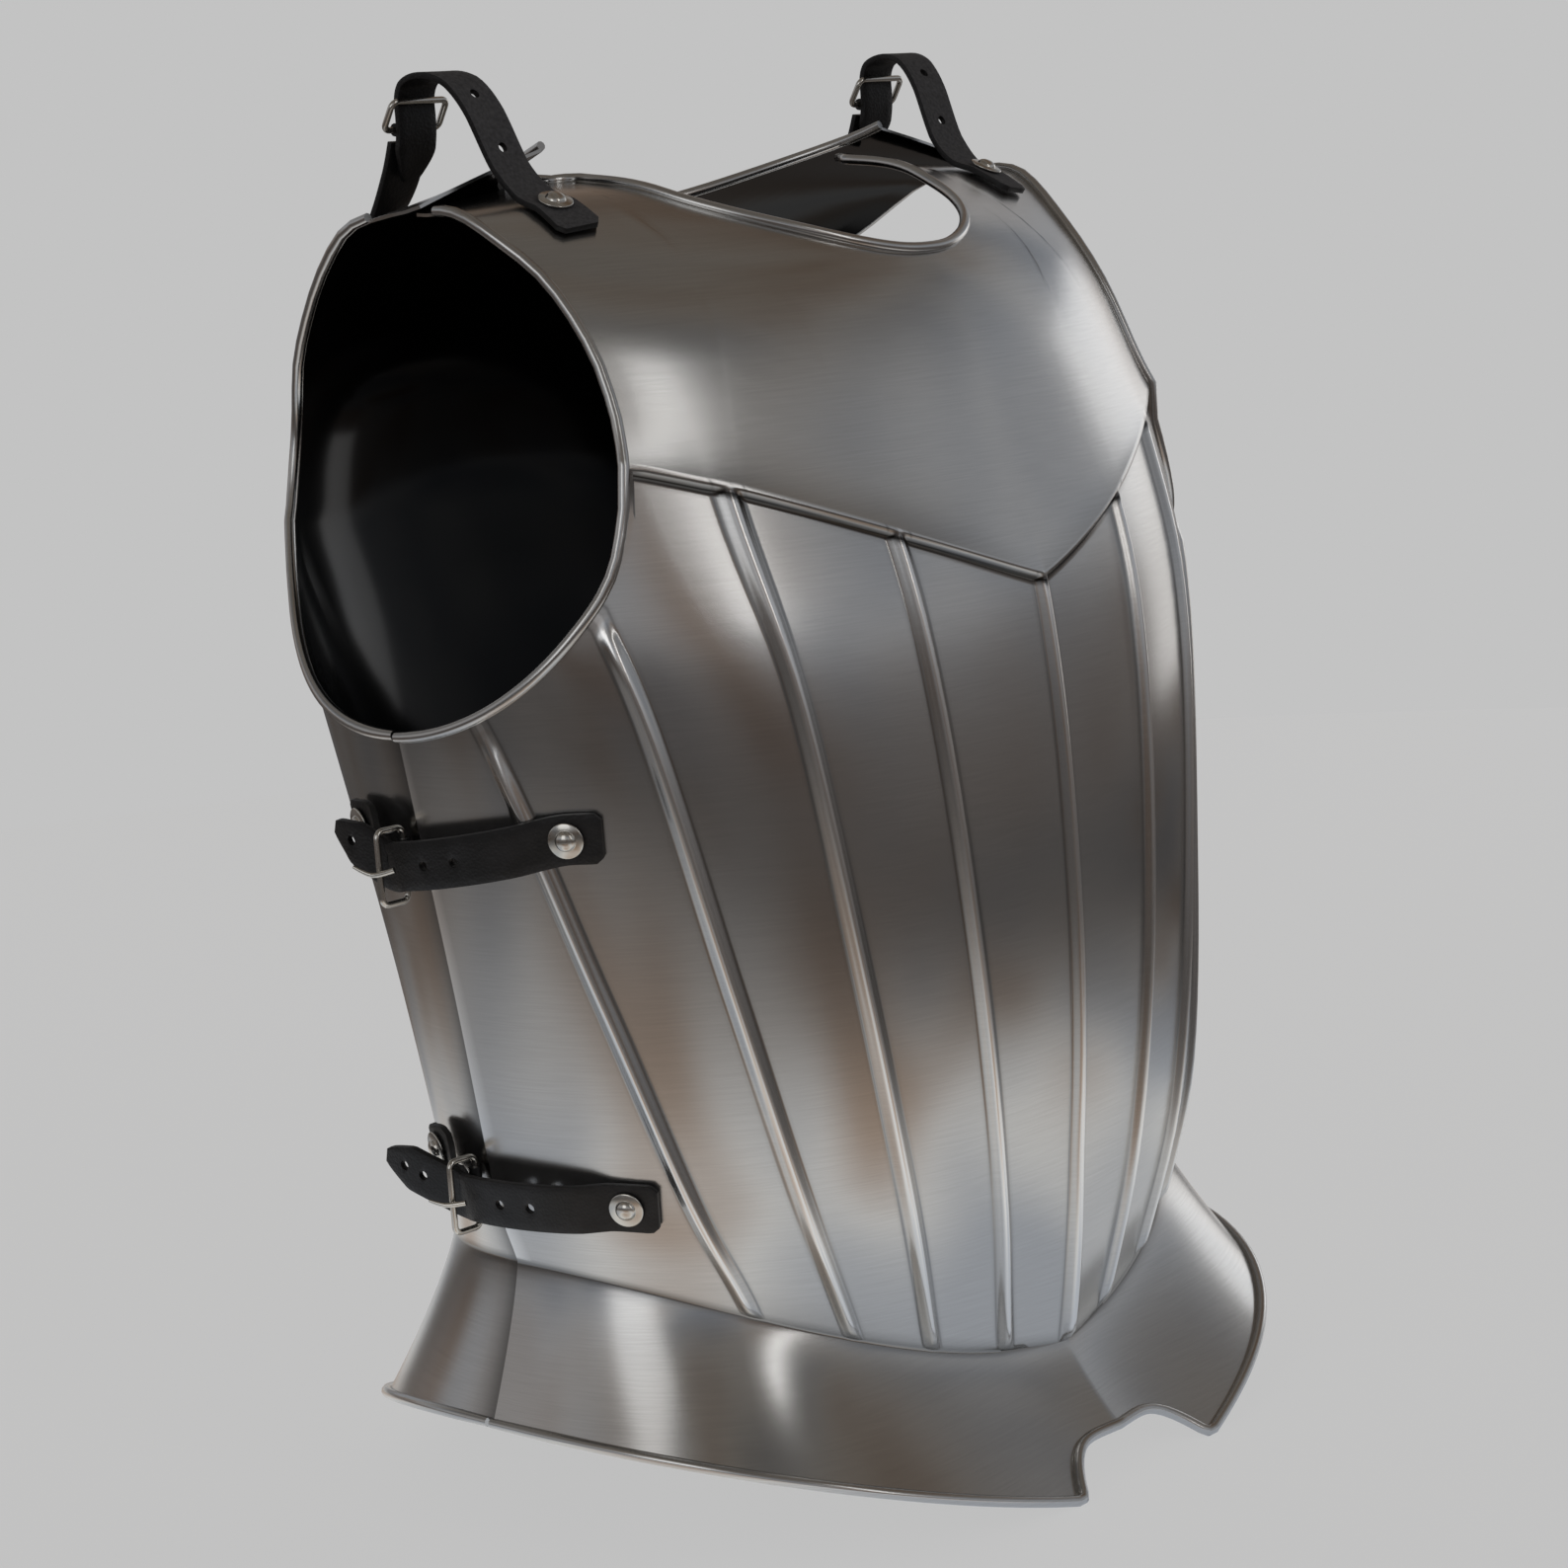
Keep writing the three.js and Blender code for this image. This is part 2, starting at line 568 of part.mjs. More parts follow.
// a buckle frame about its centre: its width along across, its depth along deep
function frameSolid(centre, across, deep) {
  const corners = (shape, x, y, cut) => {
    shape.moveTo(x - cut, -y).lineTo(x, cut - y).lineTo(x, y - cut).lineTo(x - cut, y);
    shape.lineTo(cut - x, y).lineTo(-x, y - cut).lineTo(-x, cut - y).lineTo(cut - x, -y).closePath();
    return shape;
  };
  const outline = corners(new THREE.Shape(), FRAME.width / 2, FRAME.depth / 2, 2.4);
  const [halfWidth, halfDepth] = [FRAME.width / 2 - FRAME.bar, FRAME.depth / 2 - FRAME.bar];
  outline.holes.push(corners(new THREE.Path(), halfWidth, halfDepth, 1.2));
  const geometry = new THREE.ExtrudeGeometry(outline, { depth: FRAME.bar, bevelEnabled: false });
  geometry.translate(0, 0, -FRAME.bar / 2);
  return geometry.applyMatrix4(basis(centre, across, deep));
}

function basis(centre, along, near) {
  const first = along.clone().normalize();
  const third = first.clone().cross(near).normalize();
  return new THREE.Matrix4().makeBasis(first, third.clone().cross(first), third).setPosition(centre);
}

// a round bar with a thinner tip
function prongSolid(stops) {
  const shape = new THREE.Shape().absarc(0, 0, PRONG_RADIUS, 0, Math.PI * 2, false);
  const path = new THREE.CatmullRomCurve3(stops);
  const settings = { steps: 6, curveSegments: 4, extrudePath: path, bevelEnabled: false };
  return new THREE.ExtrudeGeometry(shape, settings);
}

// a domed rivet on its washer, standing on the leather
function rivetSolid({ point, normal }) {
  const { washer, head, height } = RIVET;
  const dome = [[head, 1], [head * 0.7, height * 0.85], [0, height]];
  const profile = [[0, 0], [washer, 0], [washer, 0.7], ...dome, [0, 0]];
  const geometry = new THREE.LatheGeometry(profile.map(([r, z]) => new THREE.Vector2(r, z)), 14);
  geometry.rotateX(Math.PI / 2);
  const side = new THREE.Vector3(0, 1, 0).cross(normal);
  return geometry.applyMatrix4(basis(point, side, normal.clone().cross(side)));
}

function sideSet({ name, level, hang, chapeRise, chapeLift, tip }) {
  const [start, end] = [SIDE_RIVETS.front, SIDE_FRAME.turn];
  const at = ({ turn, off }) => {
    const hanging = hang * THREE.MathUtils.clamp((turn - start) / (end - start), 0, 1);
    return bodyPlace(90 + turn, level - hanging + TIP_RISE * Math.max(turn - end, 0), off);
  };
  const onChape = ({ turn, off }, part) => (
    bodyPlace(90 + turn, level - hang + chapeRise * part, off + chapeLift * part)
  );
  const up = new THREE.Vector3(0, 0, 1);
  const strap = [...SIDE_STRAP, ...tip].map(at);
  const chape = SIDE_CHAPE.map((stop, i) => onChape(stop, Math.min(i / 2, 1)));
  const frame = at(SIDE_FRAME);
  const prong = SIDE_PRONG.map((stop) => at(stop).point);
  const frontRivet = at({ turn: SIDE_RIVETS.front, off: ON_FRONT + ABOVE });
  const backRivet = onChape({ turn: SIDE_RIVETS.back, off: ON_BACK + ABOVE }, 1);
  return [
    [`side_${name}_strap`, ribbon(strap, up, [0.8, 0.35]), 'leather'],
    [`side_${name}_chape`, ribbon(chape, up, [1, 0.8]), 'leather'],
    [`side_${name}_buckle_frame`, frameSolid(frame.point, up, frame.normal), 'nickel'],
    [`side_${name}_buckle_prong`, prongSolid(prong), 'nickel'],
    [`side_${name}_front_rivet`, rivetSolid(frontRivet), 'nickel'],
    [`side_${name}_back_rivet`, rivetSolid(backRivet), 'nickel'],
  ];
}

// a place on the shoulder over x and y, on the leather that lies on the plate there
function shoulderPlace({ x, y }, above = 0) {
  const plate = y < 0 ? BREASTPLATE : BACKPLATE;
  const { angle, level } = placeOver(plate, x, y);
  return bodyPlace(angle, level, (y < 0 ? ON_FRONT : ON_BACK) + above);
}

function shoulderSet() {
  const place = (stop) => (stop.z === undefined
    ? shoulderPlace(stop)
    : { point: new THREE.Vector3(stop.x, stop.y, stop.z), normal: new THREE.Vector3() });
  const across = new THREE.Vector3(1, 0, 0);
  const centre = new THREE.Vector3(SHOULDER_FRAME.x, SHOULDER_FRAME.y, SHOULDER_FRAME.z);
  const above = across.clone().cross(SHOULDER_LEG);
  const prongAt = (down, up) => (
    centre.clone().addScaledVector(SHOULDER_LEG, down).addScaledVector(above, up)
  );
  const prong = [prongAt(5, 2.8), prongAt(-3, 4.8), prongAt(-12, 7.4)];
  return [
    ['shoulder_strap', ribbon(SHOULDER_STRAP.map(place), across, [0.7, 0.35]), 'leather'],
    ['shoulder_chape', ribbon(SHOULDER_CHAPE.map(place), across, [1, 0.8]), 'leather'],
    ['shoulder_buckle_frame', frameSolid(centre, across, SHOULDER_LEG), 'nickel'],
    ['shoulder_buckle_prong', prongSolid(prong), 'nickel'],
    ['shoulder_front_rivet', rivetSolid(shoulderPlace(SHOULDER_RIVETS.front, ABOVE)), 'nickel'],
    ['shoulder_back_rivet', rivetSolid(shoulderPlace(SHOULDER_RIVETS.back, ABOVE)), 'nickel'],
  ];
}

const FINISHES = {
  steel: { color: 0x8a8a88, roughness: 0.3, metalness: 1 },
  leather: { color: 0x17161a, roughness: 0.6, metalness: 0 },
  nickel: { color: 0xc6c6c2, roughness: 0.2, metalness: 1 },
};
const cuirass = new THREE.Group();
function addPiece(name, geometry, finish) {
  const mesh = new THREE.Mesh(geometry, new THREE.MeshStandardMaterial(FINISHES[finish]));
  mesh.name = name;
  cuirass.add(mesh);
}

// the same solid on the wearer's right side, with its faces turned to point out again
function mirrored(geometry) {
  const flipped = geometry.clone().scale(-1, 1, 1);
  const { count } = flipped.attributes.position;
  const index = [...(flipped.index ? flipped.index.array : Array(count).keys())];
  for (let i = 0; i < index.length; i += 3) [index[i], index[i + 1]] = [index[i + 1], index[i]];
  flipped.setIndex(index);
  return flipped;
}

addPiece('breastplate', sheetSolid(BREASTPLATE), 'steel');
addPiece('backplate', sheetSolid(BACKPLATE), 'steel');
[...SIDE_SETS.flatMap(sideSet), ...shoulderSet()].forEach(([name, geometry, finish]) => {
  geometry.translate(0, STAND_DEPTH, STAND_HEIGHT);
  addPiece(`left_${name}`, geometry, finish);
  addPiece(`right_${name}`, mirrored(geometry), finish);
});

export default cuirass;
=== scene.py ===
# %% [markdown]
# # A fluted steel cuirass, dressed for its portrait
# The real object is two sheets of steel: a breastplate with raised ribs and a V-shaped band, and a
# plain backplate. Leather straps with nickel buckles join them at the shoulders and at the sides. The
# plain model gives every piece its place. This lesson swaps each plain solid for a finer piece made
# from the same measurements, and gives it the finish of the real thing.

# %% Frame
import math

import bpy
from mathutils import Matrix, Vector


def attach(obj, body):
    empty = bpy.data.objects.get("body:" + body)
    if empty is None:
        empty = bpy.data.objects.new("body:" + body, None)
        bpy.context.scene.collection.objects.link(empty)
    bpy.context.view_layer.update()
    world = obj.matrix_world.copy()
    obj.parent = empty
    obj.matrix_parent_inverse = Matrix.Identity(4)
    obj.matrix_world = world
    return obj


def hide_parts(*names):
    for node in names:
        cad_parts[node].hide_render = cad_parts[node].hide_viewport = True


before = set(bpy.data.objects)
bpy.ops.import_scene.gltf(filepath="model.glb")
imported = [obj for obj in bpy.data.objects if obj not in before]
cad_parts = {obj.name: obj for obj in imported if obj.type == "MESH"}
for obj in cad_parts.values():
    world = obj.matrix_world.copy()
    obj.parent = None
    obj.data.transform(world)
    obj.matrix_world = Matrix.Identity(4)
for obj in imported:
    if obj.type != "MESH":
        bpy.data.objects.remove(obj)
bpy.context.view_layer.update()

MM = 0.001  # the measurements below are in millimetres and Blender's are in metres

# %% [markdown]
# ## The body's shape
# An armourer raises a breastplate over a form of the chest. Here the form is a stack of eight
# horizontal sections from the waist to the top of the shoulder, each a rounded box with its own reach
# to the side, the front and the back. Between sections the numbers glide on a smooth curve, so any
# angle and any height give one point of the surface.

# %% The sections
LEVELS = {
    "side": (109, 138, 215, 310, 361, 427, 482, 485),
    "front_dip": (58, 18, 6, 2, -15, -35, -10, -19),
    "back_dip": (8, 5, 2, -6, -30, -24, -8, -41),
    "half": (160, 168, 179, 194, 201, 198, 195, 191),
    "front": (116, 134, 141, 142, 130, 97, 38, -18),
    "keel": (5, 2, 3, 0, 0, 0, 0, 0),
    "back": (110, 101, 112, 134, 154, 140, 75, 3),
    "power": (2.45, 2.35, 2.22, 2.05, 1.85, 1.8, 1.85, 1.9),
}
TOP_LEVEL = 7
FRONT_POWER = 2.25
BACK_POWERS = (2.1, 2.15)
DIP_POWER = 1.6
RIM = {"half": 178, "front": 156, "keel": 8, "back": 142, "side": 56, "front_low": 0, "back_low": 7.1}
RIM_POWERS = {"across": 2.7, "deep": 2.2, "front_rise": 1.2, "back_rise": 1.7, "flare": 1.25, "keel": 4}
NOTCH = {"angle": 8, "cusp": 0.42, "scallop": 0.2}
STAND = Vector((0, 7, -6.5))  # moves the body to its place on the ground


def level_value(name, level):
    """A section's number at any level, on a curve through the rows of the table."""
    rows = LEVELS[name]
    start = min(max(math.floor(level), 0), TOP_LEVEL - 1)
    before = 2 * rows[0] - rows[1] if start == 0 else rows[start - 1]
    after = 2 * rows[-1] - rows[-2] if start == TOP_LEVEL - 1 else rows[start + 2]
    here, beyond = rows[start], rows[start + 1]
    t = level - start
    bend = 2 * before - 5 * here + 4 * beyond - after
    return here + 0.5 * t * (beyond - before + t * (bend + t * (3 * (here - beyond) + after - before)))


def body_point(angle, level):
    """A point of the body: 0 degrees is the middle of the front, 90 the side and 180 the back."""
    is_front = angle <= 90
    across_power, deep_power = (level_value("power", level), FRONT_POWER) if is_front else BACK_POWERS
    across = abs(math.sin(math.radians(angle))) ** (2 / across_power)
    deep = abs(math.cos(math.radians(angle))) ** (2 / deep_power)
    front = -level_value("front", level) * deep - level_value("keel", level) * (1 - across)
    dip = level_value("front_dip" if is_front else "back_dip", level)
    y = front if is_front else level_value("back", level) * deep
    z = level_value("side", level) - dip * (1 - across ** DIP_POWER)
    return Vector((level_value("half", level) * across, y, z))


print("reach of the chest:", [round(v) for v in body_point(0, 3)], "mm")
print("reach of the waist:", [round(v) for v in body_point(90, 0)], "mm")

# %% [markdown]
# ## The skirt's flare
# Below the waist the armourer flares the sheet outwards over the edge of an anvil. Here each place of
# the skirt lies between the waist's section and a rim of its own shape, and the flare grows faster
# towards the rim. Two short steps from a place, one round and one up, give the way it faces.

# %% Skirt and directions
ROUND_STEP, UP_STEP, AHEAD = 0.8, 0.05, 0.02  # degrees and levels over which a direction is measured


def rim_point(angle):
    """A point of the skirt's lower rim."""
    is_front = angle <= 90
    across = abs(math.sin(math.radians(angle))) ** (2 / RIM_POWERS["across"])
    deep = abs(math.cos(math.radians(angle))) ** (2 / RIM_POWERS["deep"])
    low = RIM["front_low"] if is_front else RIM["back_low"]
    rise = across ** RIM_POWERS["front_rise" if is_front else "back_rise"]
    keel = RIM["keel"] * (1 - across) ** RIM_POWERS["keel"]
    y = -RIM["front"] * deep - keel if is_front else RIM["back"] * deep
    return Vector((RIM["half"] * across, y, low + (RIM["side"] - low) * rise))


def surface_at(angle, height):
    """Heights from 0 up are levels of the body; 0 down to -1 is the flared skirt."""
    if height >= 0:
        return body_point(angle, height)
    waist, rim = body_point(angle, 0), rim_point(angle)
    out = (-height) ** RIM_POWERS["flare"]
    point = waist.lerp(rim, out)
    point.z = waist.z + (rim.z - waist.z) * -height
    return point


def surface_normal(angle, height):
    """The outward direction at a place, from two short steps round it."""
    low = min(max(angle, 1.0), 179.0)
    round_step = surface_at(low + ROUND_STEP, height) - surface_at(low - ROUND_STEP, height)
    top = min(height + AHEAD, TOP_LEVEL)
    normal = round_step.cross(surface_at(low, top) - surface_at(low, top - UP_STEP)).normalized()
    if angle < 0.05 or angle > 179.95:
        normal.x = 0
    return normal.normalized()


print("rim in front:", [round(v) for v in rim_point(0)], "at the side:", [round(v) for v in rim_point(90)])

# %% [markdown]
# ## Openings and guide lines
# The armhole is a tilted oval seen from the side. Above its corner the edge runs on to the end of the
# shoulder tab. The V band's line and the ribs' lines are guides that the columns of the mesh follow,
# so that each crease has an edge of its own to sit on.

# %% Openings
SHEET = 1.2
LAP = SHEET + 0.6  # the backplate lies this much under the breastplate
BEAD_RADIUS = 2.1
ARMHOLE = {"y": 30, "z": 409, "long": 123, "short": 94, "tilt": 31}
CHEVRON = {"tip": 343.5, "rise": 68, "reach": 174, "power": 1.08, "height": 3.4}
# heights from the V band's line: its step climbs from low to high, above a shallow groove, and the
# band eases back into the chest over the ease
STEP = {"low": -3.6, "high": -0.4, "ease": 14, "groove_low": -9, "groove_high": -4, "groove": 0.5}
HALVINGS = 30
SHOULDER_PARTS = (0, 0.1, 0.25, 0.42, 0.58, 0.72, 0.86, 1)
FRONT_REACHES = (144, 145, 147, 153, 155, 153, 152)
BACK_REACHES = (117, 120, 134, 152, 159, 160, 160)
CHEST_LEVEL = 4
BACK_SPLIT_LEVEL = 3.9
BACK_REACH = 94
TUCK_ANGLE = 91
# angle at the waist, angle at the chest and bow between them, of the keel, four ribs and the seam
FRONT_LINES = ((0, 0, 0), (7.3, 20.5, 0.8), (18.7, 38, 2.5), (31.3, 58.6, 3.4), (47.5, 86, 0), (90, 90, 0))
SEAM_LINE = 5


def armhole_value(point):
    """Negative inside the oval of the armhole."""
    tilt = math.radians(ARMHOLE["tilt"])
    dy, dz = point.y - ARMHOLE["y"], point.z - ARMHOLE["z"]
    along = (dy * math.cos(tilt) + dz * math.sin(tilt)) / ARMHOLE["long"]
    across = (dz * math.cos(tilt) - dy * math.sin(tilt)) / ARMHOLE["short"]
    return along ** 2 + across ** 2 - 1


def chevron_height(x):
    """The height of the V band's line at a distance from the middle."""
    return CHEVRON["tip"] + CHEVRON["rise"] * (abs(x) / CHEVRON["reach"]) ** CHEVRON["power"]


def root(value, low, high):
    """The place between low and high where a function passes zero."""
    low_is_positive = value(low) > 0
    for _ in range(HALVINGS):
        middle = (low + high) / 2
        if (value(middle) > 0) == low_is_positive:
            low = middle
        else:
            high = middle
    return (low + high) / 2


print("V band from", CHEVRON["tip"], "mm up to", round(chevron_height(150)), "mm above the body's base")

# %% [markdown]
# ## The two plates
# Breastplate and backplate are made by the same steps with different numbers, so each is a row of
# settings: where its middle is, how deep it lies under its neighbour, how its lines run and where its
# upper part starts. A place can also be asked for by how far it is from the middle.

# %% Settings of the plates


def front_angle(line, level):
    """The angle of a guide line of the breastplate; a line between two lines is a share of each."""
    t = level / CHEST_LEVEL
    left = min(int(line), SEAM_LINE - 1)
    ends = []
    for waist, chest, bow in FRONT_LINES[left:left + 2]:
        ends.append(waist + (chest - waist) * t + 4 * bow * t * (1 - t))
    return ends[0] + (ends[1] - ends[0]) * (line - left)


def back_angle(line, level):
    """The backplate's lines stand upright, so the level has no say."""
    return 180 - line * BACK_REACH


PLATES = {
    "front": {
        "middle": 0, "angle": front_angle, "inset": 0, "last": SEAM_LINE,
        "neck": (-6, 80, -92), "reaches": FRONT_REACHES,
        "above_split": lambda point, level: point.z - chevron_height(point.x),
    },
    "back": {
        "middle": 180, "angle": back_angle, "inset": LAP, "last": 1,
        "neck": (-6, 100, 92), "reaches": BACK_REACHES,
        "above_split": lambda point, level: level - BACK_SPLIT_LEVEL,
    },
}


def angle_at_reach(plate, x, level):
    """The angle at which a plate's section is x away from the middle."""
    power = level_value("power", level) if plate["middle"] == 0 else BACK_POWERS[0]
    ratio = min((x / level_value("half", level)) ** (power / 2), 1)
    return abs(plate["middle"] - math.degrees(math.asin(ratio)))


def place_over(plate, x, y):
    """The place on the upper part of a plate that lies over x and y."""
    level = root(lambda v: body_point(angle_at_reach(plate, x, v), v).y - y, BACK_SPLIT_LEVEL, TOP_LEVEL)
    return angle_at_reach(plate, x, level), level


print("the breastplate has", len(FRONT_LINES), "guide lines")
print("the backplate lies", round(LAP, 1), "mm under it")

# %% [markdown]
# ## Columns
# A column climbs a plate from the skirt to the V band or the armhole. Beside a rib, columns stand at
# set distances from its line, closer where the bead is rounder; between ribs they are spread evenly.
# Each column is a pair of anchors and a share between them, so columns never cross.

# %% Columns
# a rib's measures, how fast its side falls, and the levels over which it fades in and out
RIB = {"half_width": 4.3, "height": 3.1, "fall": 1.5, "fade_in": 0.12, "fade_out": (0.02, 0.3)}
LAST_BAND_RIB = 2  # ribs up to this line run into the V band; the others fade out at the armhole
SEARCH_START, SEARCH_STEP = 1.5, 0.1  # levels at which a column's end is looked for
RIB_STEPS = (-6.5, -5.2, -4.3, -3.4, -2.6, -1.8, -0.9, 0, 0.9, 1.8, 2.6, 3.4, 4.3, 5.2, 6.5)


def anchor_angle(plate, anchor, level):
    """An anchor is a line and a shift from it in millimetres."""
    line, shift = anchor
    angle = plate["angle"](line, level)
    if not shift:
        return angle
    one_degree = (body_point(angle, level) - body_point(abs(angle - 1), level)).length
    return angle + shift / one_degree


def column_angle(plate, column, level):
    """Where a column stands at a level; it is two anchors and a share between them."""
    left, right, share = column
    angle = anchor_angle(plate, left, level)
    if share:
        angle += (anchor_angle(plate, right, level) - angle) * share
    return angle


def between(left, right, count):
    """Columns spread evenly from one anchor to just before the other."""
    return [(left, right, i / count) for i in range(count)]


def front_columns(corner):
    """Columns from the keel to the side seam, with one on the corner of the armhole."""
    columns = [((0, step), (0, step), 0) for step in RIB_STEPS if step >= 0]
    gaps = {1: 6, 2: 8, 3: 8, 4: 10}  # columns before each rib
    for line in range(1, SEAM_LINE):
        before, after = (line - 1, RIB_STEPS[-1]), (line, RIB_STEPS[0])
        if line - 1 < corner < line:
            columns += between(before, (corner, 0), gaps[line] // 2 + 2)[1:]
            columns += between((corner, 0), after, gaps[line] // 2 + 1)
        else:
            columns += between(before, after, gaps[line])[1:]
        columns += [((line, step), (line, step), 0) for step in RIB_STEPS]
    columns += between((SEAM_LINE - 1, RIB_STEPS[-1]), (SEAM_LINE, 0), 14)[1:]
    return columns + [((SEAM_LINE, 0), (SEAM_LINE, 0), 0)]


def back_columns(corner):
    """Columns from the middle of the back to the edge that is tucked under the breastplate."""
    tuck = (180 - TUCK_ANGLE) / BACK_REACH
    columns = between((0, 0), (corner, 0), 26) + between((corner, 0), (tuck, 0), 26)
    return columns + between((tuck, 0), (1, 0), 3) + [((1, 0), (1, 0), 0)]


def column_end(plate, column):
    """The level where a column meets the split line or the armhole, and whether the hole comes first."""

    def above_split(level):
        return plate["above_split"](body_point(column_angle(plate, column, level), level), level)

    def inside_hole(level):
        return -armhole_value(body_point(column_angle(plate, column, level), level))

    ends = []
    for value in (above_split, inside_hole):
        level = SEARCH_START
        while level < TOP_LEVEL and value(level + SEARCH_STEP) <= 0:
            level += SEARCH_STEP
        ends.append(root(value, level, level + SEARCH_STEP) if level < TOP_LEVEL else TOP_LEVEL)
    return min(ends), ends[1] < ends[0]


def corner_line(plate):
    """The line whose column ends at the corner, where the split line meets the armhole."""
    low, high = 0, plate["last"]
    for _ in range(HALVINGS):
        line = (low + high) / 2
        meets_hole = column_end(plate, ((line, 0), (line, 0), 0))[1]
        low, high = (low, line) if meets_hole else (line, high)
    return high


print("a rib is", 2 * RIB["half_width"], "mm wide and has", len(RIB_STEPS), "columns")

# %% [markdown]
# ## Where the columns end
# The corner where the V band or the shoulder meets the armhole has to be a vertex, or the edge would
# be cut in steps. So the corner is found first, and a column is set on it.

# %% Columns of each plate
for side, plate in PLATES.items():
    plate["corner"] = corner_line(plate)
    make_columns = front_columns if side == "front" else back_columns
    plate["columns"] = make_columns(plate["corner"])
    print(side, "plate:", len(plate["columns"]), "columns, corner at line", round(plate["corner"], 2))

# %% [markdown]
# ## Relief
# Ribs and the V band are hammered up from behind. A rib is a narrow bead with soft feet. The band is
# a step: steep on its lower side, and easing back into the chest above.

# %% Relief


def smooth(value, low, high):
    """0 below low, 1 above high, and a soft curve between them."""
    t = min(max((value - low) / (high - low), 0), 1)
    return t * t * (3 - 2 * t)


def rib_relief(column, level, end_level):
    """How far a rib stands off: a narrow bead with rounded sides."""
    left, right, share = column
    line, shift = left
    if share or line != int(line) or line >= SEAM_LINE or abs(shift) >= RIB["half_width"]:
        return 0
    bead = math.cos(math.pi / 2 * shift / RIB["half_width"]) ** RIB["fall"]
    start = smooth(level, 0, RIB["fade_in"])
    finish = 1 if line <= LAST_BAND_RIB else smooth(end_level - level, *RIB["fade_out"])
    return RIB["height"] * bead * start * finish


def chevron_relief(point):
    """How far the V band stands off, with a groove beaten along its foot."""
    above = point.z - chevron_height(point.x)
    if above >= 0:
        return CHEVRON["height"] * math.exp(-above / STEP["ease"])
    climb = CHEVRON["height"] * smooth(above, STEP["low"], STEP["high"])
    groove = smooth(above, STEP["groove_low"], STEP["groove_high"]) if above < STEP["low"] else 0
    return climb - STEP["groove"] * groove


print("rib height:", RIB["height"], "mm; band height:", CHEVRON["height"], "mm")

# %% [markdown]
# ## Tools of the bench
# The same few moves are made on every piece: select it alone, weld doubles, apply a modifier, smooth
# the shading. A sheet always starts as a flat grid, because its rows and columns can then be laid on
# any surface, and a rolled edge or a buckle always starts as a bar drawn along a line.

# %% Mesh tools


def deselect_all():
    """An operator works on all that is selected, so each step starts from nothing."""
    bpy.ops.object.select_all(action="DESELECT")


def activate(piece):
    deselect_all()
    piece.select_set(True)
    bpy.context.view_layer.objects.active = piece


def formed_grid(name, rows, recess=None):
    """A grid primitive whose vertices are moved to rows of places, in millimetres.

    The shade rows say how much painted shade each vertex gets in a crease, or how much brighter its
    crest is painted, for the finish to darken or brighten."""
    deselect_all()
    count = len(rows[0])
    bpy.ops.mesh.primitive_grid_add(x_subdivisions=count - 1, y_subdivisions=len(rows) - 1, size=2)
    piece = bpy.context.object
    piece.name = name
    depths = piece.data.attributes.new("recess", "FLOAT", "POINT") if recess else None
    for vertex in piece.data.vertices:
        i = round((vertex.co.x + 1) / 2 * (count - 1))
        j = round((vertex.co.y + 1) / 2 * (len(rows) - 1))
        vertex.co = rows[j][i] * MM
        if recess:
            depths.data[vertex.index].value = recess[j][i]
    return piece


def join(pieces, name):
    deselect_all()
    for piece in pieces:
        piece.select_set(True)
    bpy.context.view_layer.objects.active = pieces[0]
    bpy.ops.object.join()
    pieces[0].name = name
    return pieces[0]


def weld(piece, distance=0.02):
    """Merges vertices that lie within a distance in millimetres."""
    activate(piece)
    bpy.ops.object.mode_set(mode="EDIT")
    bpy.ops.mesh.select_all(action="SELECT")
    bpy.ops.mesh.remove_doubles(threshold=distance * MM)
    bpy.ops.object.mode_set(mode="OBJECT")


def apply_modifier(piece, kind, **settings):
    activate(piece)
    modifier = piece.modifiers.new(kind.title(), kind)
    for key, value in settings.items():
        setattr(modifier, key, value)
    bpy.ops.object.modifier_apply(modifier=modifier.name)


def finish_mesh(piece, angle=40):
    """Smooth shading, with edges sharper than the angle kept crisp."""
    activate(piece)
    bpy.ops.object.shade_smooth_by_angle(angle=math.radians(angle))


def bar_along(name, path, radius, widths, finish, roundness=4, closed=False):
    """A round bar along a path in millimetres, made a mesh; widths are shares of the radius."""
    curve = bpy.data.curves.new(name, "CURVE")
    curve.dimensions = "3D"
    curve.bevel_depth = radius * MM
    curve.bevel_resolution = roundness
    curve.use_fill_caps = True
    spline = curve.splines.new("POLY")
    spline.points.add(len(path) - 1)
    spline.use_cyclic_u = closed
    for point, place, width in zip(spline.points, path, widths):
        point.co = (*(place * MM), 1)
        point.radius = width
    bar = bpy.data.objects.new(name, curve)
    bpy.context.collection.objects.link(bar)
    activate(bar)
    bpy.ops.object.convert(target="MESH")
    bar = bpy.context.object
    bar.data.materials.clear()
    bar.data.materials.append(finish)
    return bar


print("one unit of the bench is", MM, "m")

# %% [markdown]
# ## From a flat grid to a plate
# A plate starts as three flat grids: skirt, body and shoulder. Each vertex is then moved to its place
# on the surface, as a smith planishes sheet over a form. Rows stand closer together near the waist,
# the V band and the edges, where the sheet bends most.

# %% Places on a plate
GRIDS = ("skirt", "body", "shoulder")
BODY_PARTS = [0, 0.004, 0.012, 0.025, 0.045] + [0.07 + 0.04 * i for i in range(23)]
BODY_PARTS += [0.965, 0.976, 0.983, 0.987, 0.99, 0.993, 0.9965, 1]
SKIRT_PARTS = [0, 0.02, 0.06] + [0.12 + 0.08 * i for i in range(12)]
SHOULDER_ROWS = [0, 0.008, 0.02, 0.035, 0.06, 0.09] + [0.13 + 0.058 * i for i in range(16)]
CREASE = {"waist": 5.5, "rim": 3.2, "spread": 5, "top": 1.2}


